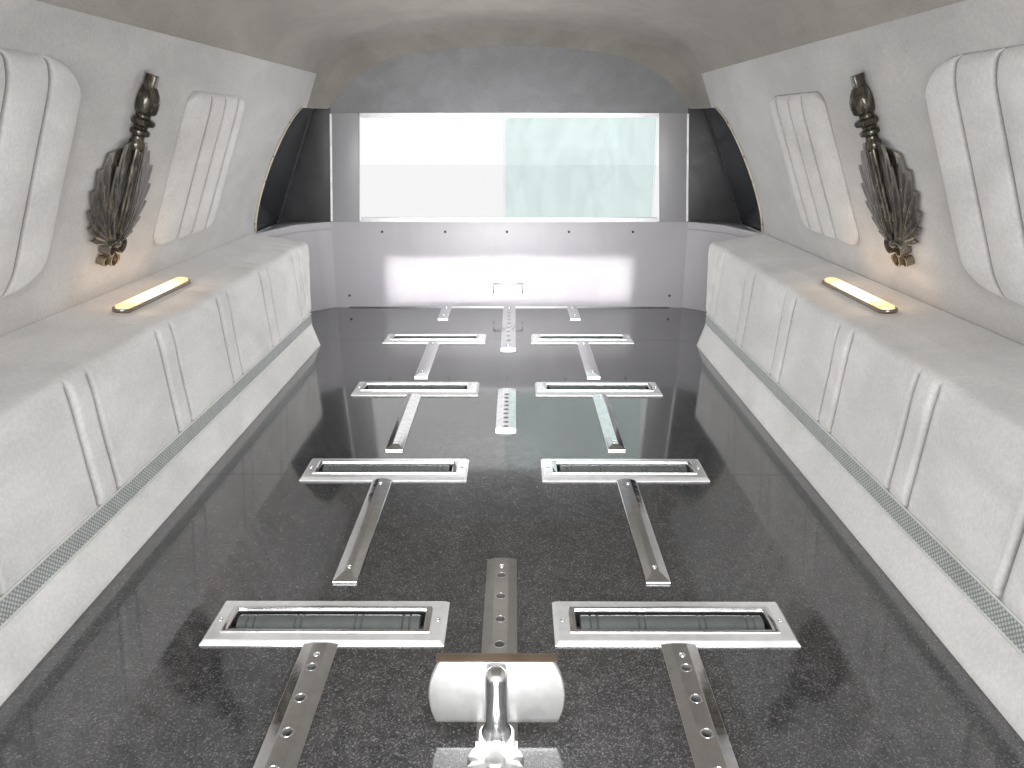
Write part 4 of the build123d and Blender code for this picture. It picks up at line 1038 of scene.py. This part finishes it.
postProfile += [(0.0112, 0.0830), (0.0109, 0.0860), (0.0100, 0.0888), (0.0082, 0.0911), (0.0056, 0.0928),
                (0.0028, 0.0936), (0.0, 0.0938)]
lathe(base, postProfile, (0, stop["postY"], deckTop), (0, 0, 1), 40)
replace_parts(finishPiece(base, "stop_base_turned", "chrome", body="casket_stop"), "stop_base")

knob = bmesh.new()
knobProfile = [(0.0, 0.0), (0.0262, 0.0), (0.0280, 0.0012), (0.0285, 0.0035), (0.0285, 0.0095),
               (0.0272, 0.0120), (0.0240, 0.0132), (0.0150, 0.0136), (0.0100, 0.0140), (0.0092, 0.0160),
               (0.0080, 0.0172), (0.0, 0.0176)]
turned = lathe(knob, knobProfile, (0, stop["knobY"], deckTop + stop["footTop"]), (0, 0, 1), 96)
for vertex in turned:
    flat = Vector((vertex.co.x, vertex.co.y - stop["knobY"]))
    if flat.length > stop["fluteFrom"]:
        angle = Vector((1, 0)).angle_signed(flat)
        dip = max(0.0, cos(stop["flutes"] * angle)) ** 2.0
        share = (flat.length - stop["fluteFrom"]) / (stop["knobRadius"] - stop["fluteFrom"])
        flat *= 1 - stop["fluteDepth"] * dip * share / flat.length
        vertex.co.x = flat.x
        vertex.co.y = stop["knobY"] + flat.y
knobPiece = finishPiece(knob, "stop_knob_fluted", "brushedSteel", 40.0, "casket_stop")
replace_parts(knobPiece, "stop_knob")
roundedCopy("stop_plate", "stop_plate_brushed", "brushedSteel", 0.0014, 3, body="casket_stop")
roundedCopy("stop_pad", "stop_pad_rubber", "padRubber", 0.0012, body="casket_stop")
plateLow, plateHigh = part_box("stop_plate")
lip = bmesh.new()
boxAt(lip, (-stop["lipHalf"], plateLow.y - 0.0008, plateHigh.z - 0.0006),
      (stop["lipHalf"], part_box("stop_pad")[1].y, plateHigh.z + 0.0014), 0.0009)
finishPiece(lip, "stop_pad_lip", "padRubber", body="casket_stop")
print("casket stop finished")


# Torch ornament: a turned pole and bud, a ringed neck, layered leaves and a curled bow
torch = {
    "middleY": -0.040, "low": 0.362, "neckLift": 0.011, "thickness": 0.0030, "root": (0.012, 0.052),
    # each leaf: its tip out and up, and the point its outer edge bows towards
    "outer": ((0.076, 0.060, 0.050, 0.046), (0.094, 0.086, 0.071, 0.060), (0.106, 0.116, 0.082, 0.076),
              (0.108, 0.150, 0.088, 0.088), (0.099, 0.186, 0.096, 0.110), (0.075, 0.214, 0.108, 0.130)),
    "inner": ((0.044, 0.110, 0.040, 0.070), (0.054, 0.152, 0.052, 0.085), (0.053, 0.194, 0.062, 0.100),
              (0.040, 0.232, 0.066, 0.120)),
    # each flute of the pole: across, foot, head, radius
    "flutes": ((0, 0.064, 0.240, 0.0058), (-0.0112, 0.070, 0.236, 0.0050), (0.0112, 0.070, 0.236, 0.0050)),
    # leaf edges lightened by wear and a painted highlight; the bow below bowTop painted amber for lamp light,
    # fading over bowFade
    "leafEdgeWearAndHighlight": 0.44, "bowLampLight": 0.50, "bowTop": 0.078, "bowFade": 0.050,
    # each curl: centre, radius, first angle and sweep in half turns, width, lift
    "curls": (((0.017, 0.040), 0.0155, 1.0, -1.8, 0.020, 0.011),
              ((-0.017, 0.041), 0.0165, 0.0, 1.8, 0.020, 0.011),
              ((-0.002, 0.019), 0.0150, 0.4, -1.9, 0.018, 0.011),
              ((0.020, 0.017), 0.0105, 0.9, 1.6, 0.014, 0.008),
              ((-0.021, 0.015), 0.0115, 0.2, -1.6, 0.014, 0.008)),
    "curlShrink": 0.45, "curlSteps": 22, "ribbon": 0.0024,
}

torchMesh = bmesh.new()
wearAndPaintedLightLayer = torchMesh.verts.layers.float.new("worn")
neck = [(0, 0.222), (0.0125, 0.222), (0.0150, 0.228), (0.0135, 0.236), (0.0105, 0.240), (0.0100, 0.246),
        (0.0165, 0.250), (0.0175, 0.254), (0.0160, 0.258), (0.0110, 0.260), (0.0120, 0.264), (0.0205, 0.268),
        (0.0222, 0.2725), (0.0200, 0.277), (0.0130, 0.280), (0.0120, 0.284), (0.0180, 0.290), (0.0215, 0.300),
        (0.0210, 0.312), (0.0165, 0.324), (0.0120, 0.332), (0, 0.334)]
lathe(torchMesh, neck, (0, 0, torch["neckLift"]), (0, 1, 0), 28)
boxAt(torchMesh, (-0.0085, 0.318, torch["neckLift"] - 0.0085), (0.0085, 0.3525, torch["neckLift"] + 0.0085),
      0.0015)


def bowed(start, middle, end, share):
    return start.lerp(middle, share).lerp(middle.lerp(end, share), share)


def addLeaf(leaf, side, width, rootLift, tipLift):
    # a broad curved leaf with a cut top, whose outer corner is its tip
    root = Vector(torch["root"])
    tip = Vector(leaf[:2])
    bow = Vector(leaf[2:])
    innerTip = tip + Vector((-width, 0.20 * width))
    innerBow = Vector((bow.x * 0.50, bow.y + 0.012))

    def place(u, v):
        outer = bowed(root + Vector((0.004, -0.004)), bow, tip, v)
        inner = bowed(root + Vector((-0.006, 0.004)), innerBow, innerTip, v)
        flat = inner.lerp(outer, u)
        swelling = 0.0042 * sin(pi * u) ** 0.6 * sin(pi * min(1.0, v + 0.12)) ** 0.5
        crease = 0.0012 * max(0.0, 1 - abs(u - 0.5) / 0.16)
        height = rootLift + (tipLift - rootLift) * v + swelling - crease
        return Vector((side * flat.x, flat.y, height))

    made = sheetFrom(torchMesh, 10, 16, place)
    for n, vertex in enumerate(made):
        across = n % 11 / 10
        along = n // 11 / 16
        # leaf edges lighter: partly rubbed wear, partly painted highlight along the edges
        edge = max(1 - min(across, 1 - across) / 0.11, 1 - (1 - along) / 0.07, 0.0)
        vertex[wearAndPaintedLightLayer] = torch["leafEdgeWearAndHighlight"] * edge * smoothStep(along / 0.3)
    faces = list({f for v in made for f in v.link_faces})
    backs = onlyVerts(bmesh.ops.extrude_face_region(torchMesh, geom=faces))
    bmesh.ops.translate(torchMesh, vec=(0, 0, -torch["thickness"]), verts=backs)


for side in (-1, 1):
    for row, leaf in enumerate(torch["outer"]):
        addLeaf(leaf, side, 0.060, 0.0135 - 0.0007 * row, 0.0085 - 0.0007 * row)
    for row, leaf in enumerate(torch["inner"]):
        addLeaf(leaf, side, 0.036, 0.0155 - 0.0006 * row, 0.0150 - 0.0008 * row)
for x, start, end, radius in torch["flutes"]:
    profile = [(0, start), (0.5 * radius, start + 0.002), (0.9 * radius, start + 0.014),
               (radius, start + 0.05), (0.92 * radius, end - 0.05), (0.75 * radius, end - 0.012), (0, end)]
    lathe(torchMesh, profile, (x, 0, 0.0190 - 0.10 * abs(x)), (0, 1, 0), 16)


def addCurl(centre, radius, start, sweep, width, lift):
    # a ribbon end rolled inwards
    section = None
    for n in range(torch["curlSteps"] + 1):
        share = n / torch["curlSteps"]
        angle = (start + sweep * share) * pi
        out = Vector((cos(angle), sin(angle)))
        inner = Vector(centre) + out * radius * (1 - torch["curlShrink"] * share)
        outer = inner + out * torch["ribbon"]
        low = lift - width / 2
        high = lift + width / 2
        corners = ((inner, low), (outer, low), (outer, high), (inner, high))
        ring = [torchMesh.verts.new((*flat, height)) for flat, height in corners]
        edges = [torchMesh.edges.new((ring[i], ring[(i + 1) % 4])) for i in range(4)]
        if section:
            bmesh.ops.bridge_loops(torchMesh, edges=section + edges)
        else:
            bmesh.ops.contextual_create(torchMesh, geom=edges)
        section = edges
    bmesh.ops.contextual_create(torchMesh, geom=section)


for curl in torch["curls"]:
    addCurl(*curl)
knot = [(0, -0.010), (0.006, -0.009), (0.0095, -0.004), (0.0095, 0.004), (0.006, 0.009), (0, 0.010)]
lathe(torchMesh, knot, (0, 0.049, 0.014), (1, 0, 0), 20)
for n in range(5):
    angle = n * 2 * pi / 5 + 0.3
    petal = bmesh.ops.create_uvsphere(torchMesh, u_segments=12, v_segments=12, radius=1.0)["verts"]
    out = Vector((cos(angle), 0, sin(angle)))
    place = Matrix.Translation(Vector((0, 0.309, torch["neckLift"])) + out * 0.0128)
    turn = Matrix.Rotation(-angle, 4, "Y")
    shape = Matrix.Rotation(0.16, 4, "Z") @ Matrix.Diagonal((0.0085, 0.023, 0.0105, 1))
    bmesh.ops.transform(torchMesh, matrix=place @ turn @ shape, verts=petal)
bmesh.ops.recalc_face_normals(torchMesh, faces=torchMesh.faces)
for vertex in torchMesh.verts:
    vertex.co.z = max(vertex.co.z, 0.0004)
    # painted light: the bow is painted amber for the warm lamp light falling on it, fading upwards
    bowShare = smoothStep((torch["bowTop"] - vertex.co.y) / torch["bowFade"])
    vertex[wearAndPaintedLightLayer] = max(vertex[wearAndPaintedLightLayer], torch["bowLampLight"] * bowShare)
bmesh.ops.transform(torchMesh, matrix=wallFrame(torch["middleY"], torch["low"]), verts=torchMesh.verts)
twin = bmesh.ops.duplicate(torchMesh, geom=torchMesh.verts[:] + torchMesh.edges[:] + torchMesh.faces[:])
flip(torchMesh, onlyVerts(twin), [item for item in twin["geom"] if isinstance(item, bmesh.types.BMFace)])
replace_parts(finishPiece(torchMesh, "wall_torches", "bronze", 38.0), "torches")
print("torches made")


# Small trims: deck joints, the cloth on the kick faces, the partition's foot bead, screws and frame bolts
trims = {"jointY": (-0.161, 0.768), "jointHalf": 0.0007, "kickFootX": 0.545, "kickTopX": 0.5722,
         "kickTopUp": 0.0545, "kickProud": 0.0022, "kickWall": 0.0006, "beadHalf": 0.560, "archScrew": 0.0032,
         "frameBolt": 0.0065}

jointLines = bmesh.new()
for y in trims["jointY"]:
    boxAt(jointLines, (-trims["kickFootX"], y - trims["jointHalf"], deckTop - 0.001),
          (trims["kickFootX"], y + trims["jointHalf"], deckTop + 0.00012))
finishPiece(jointLines, "deck_joint_lines", "darkTrim")

kick = bmesh.new()
for side in (-1, 1):
    def kickPlace(u, v, side=side):
        end = benchEnd(trims["kickTopUp"] * v) - 0.001
        y = rearEdge + 0.001 + (end - rearEdge - 0.001) * u
        x = trims["kickFootX"] + (trims["kickTopX"] - trims["kickFootX"]) * v
        proud = trims["kickProud"] * smoothStep(min(v, 1 - v) / 0.10) * smoothStep(min(u, 1 - u) / 0.004)
        return Vector((side * (x - proud - 0.0002), y, deckTop + trims["kickTopUp"] * v + 0.0002))
    sheetFrom(kick, 90, 10, kickPlace)
bmesh.ops.solidify(kick, geom=kick.faces[:], thickness=trims["kickWall"])
bmesh.ops.recalc_face_normals(kick, faces=kick.faces)
finishPiece(kick, "kick_face_cloth", "suede", 60.0)

bead = bmesh.new()
boxAt(bead, (-trims["beadHalf"], frontEdge - 0.0035, deckTop - 0.0005),
      (trims["beadHalf"], frontEdge + 0.0005, deckTop + 0.0035), 0.0010)
finishPiece(bead, "partition_foot_bead", "aluminium")

archScrews = bmesh.new()
for side in (-1, 1):
    for y, up in ((0.8490, 0.330), (0.8300, 0.452), (0.8420, 0.520), (0.9080, 0.612)):
        x = wallX(up) - 0.0040 / cos(leanAngle)
        axis = (-side * cos(leanAngle), 0, -sin(leanAngle))
        screwAt(archScrews, (side * x, y, deckTop + up), axis, trims["archScrew"])
finishPiece(archScrews, "arch_trim_screws", "screwBlack")

frameBolts = bmesh.new()
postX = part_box("upright_posts")[1].x
for side in (-1, 1):
    for y in (-1.170, -0.3765, 0.5435, 1.185):
        for z in (0.125, 0.300):
            screwAt(frameBolts, (side * postX, y, z), (side, 0, 0), trims["frameBolt"])
finishPiece(frameBolts, "frame_bolts", "traySteel")
print("small trims finished")


# Floor, world, lamps and the camera
def stageMaterial():
    # seen straight or in a mirror the floor is nearly white, as the world is
    look = Look("paleFloor", (0.72, 0.72, 0.72), 0.75)
    look.feed(Base_Color=look.ramp(look.grain(3.0, 4.0), (0.3, 0.70), (0.7, 0.74)))
    mixed = look.add("ShaderNodeMixShader", Fac=look.calculate("MULTIPLY", look.seenRays(), 0.76))
    look.put(mixed.inputs[1], look.shader.outputs["BSDF"])
    look.put(mixed.inputs[2], look.add("ShaderNodeEmission").outputs["Emission"])
    look.put(look.tree.nodes["Material Output"].inputs["Surface"], mixed.outputs["Shader"])
    return look.material


floorMesh = bmesh.new()
bmesh.ops.create_grid(floorMesh, x_segments=2, y_segments=2, size=14.0)
floorData = bpy.data.meshes.new("studioFloor")
floorMesh.to_mesh(floorData)
floorMesh.free()
floor = bpy.data.objects.new("studioFloor", floorData)
floor.location.z = -0.0005
scene.collection.objects.link(floor)
floorData.materials.append(stageMaterial())

light = {"world": 0.86, "rearPower": 143.0, "rearSize": (2.4, 1.5), "rearPlace": (0, -3.6, 1.25),
         "glowPower": 0.070, "glowColour": (1.0, 0.68, 0.42), "glowX": 0.676, "glowY": 0.020,
         "glowPitch": 0.10, "glowUp": 0.326, "glowRadius": 0.012, "bandPower": 0.60, "bandY": 0.78,
         "bandUp": 0.095, "bandSize": (0.84, 0.15), "fillRadius": 0.15,
         # soft lamps near the middle line: place across and along, height, power
         "fills": ((0, -0.85, 0.52, 5.6), (-0.06, 0.70, 0.50, 9.4), (0, -0.85, 0.27, 2.8),
                   (0, -0.05, 0.27, 5.4), (0, 0.70, 0.27, 1.5))}

world = bpy.data.worlds.new("studioWorld")
scene.world = world
sky = Nodes(world)
strength = sky.add("ShaderNodeMapRange", Value=sky.seenRays(), To_Min=light["world"], To_Max=1.0)
sky.putAll(sky.tree.nodes["Background"], {"Color": (1, 1, 1, 1), "Strength": strength.outputs["Result"]})


def addLight(kind, name, place, power, colour=(1, 1, 1)):
    data = bpy.data.lights.new(name, kind)
    data.energy = power
    data.color = colour
    lamp = bpy.data.objects.new(name, data)
    lamp.location = place
    lamp.visible_camera = False
    scene.collection.objects.link(lamp)
    return lamp


def areaLight(name, place, target, size, power):
    lamp = addLight("AREA", name, place, power)
    lamp.data.shape = "RECTANGLE"
    lamp.data.size, lamp.data.size_y = size
    lamp.rotation_mode = "QUATERNION"
    lamp.rotation_quaternion = (Vector(target) - Vector(place)).to_track_quat("-Z", "Y")
    return lamp


def pointLight(name, place, power, radius, colour=(1, 1, 1)):
    lamp = addLight("POINT", name, place, power, colour)
    lamp.data.shadow_soft_size = radius
    lamp.visible_glossy = False
    lamp.visible_transmission = False


areaLight("rearDaylight", light["rearPlace"], (0, 1.0, 0.50), light["rearSize"], light["rearPower"])
for side in (-1, 1):
    for n in (-1, 0, 1):
        place = (side * light["glowX"], light["glowY"] + light["glowPitch"] * n, deckTop + light["glowUp"])
        pointLight(f"benchGlow{side}{n}", place, light["glowPower"], light["glowRadius"], light["glowColour"])
for n, (x, y, z, power) in enumerate(light["fills"]):
    pointLight(f"fill{n}", (x, y, z), power, light["fillRadius"])
bandZ = deckTop + light["bandUp"]
band = areaLight("daylightBand", (0, light["bandY"], bandZ), (0, frontEdge, bandZ), light["bandSize"],
                 light["bandPower"])
band.data.spread = radians(9)
band.visible_glossy = False
band.visible_transmission = False

camera = {"place": (0.0178, -1.440, 0.713), "tilt": 90 - 18.54, "turn": 0.19, "lens": 27.07}
cameraData = bpy.data.cameras.new("camera")
cameraData.lens = camera["lens"]
cameraData.sensor_width = 36
cameraData.clip_start = 0.01
cameraObject = bpy.data.objects.new("camera", cameraData)
cameraObject.location = camera["place"]
cameraObject.rotation_euler = (radians(camera["tilt"]), 0, radians(camera["turn"]))
scene.collection.objects.link(cameraObject)
scene.camera = cameraObject
scene.view_settings.view_transform = "Standard"

print("stage set")
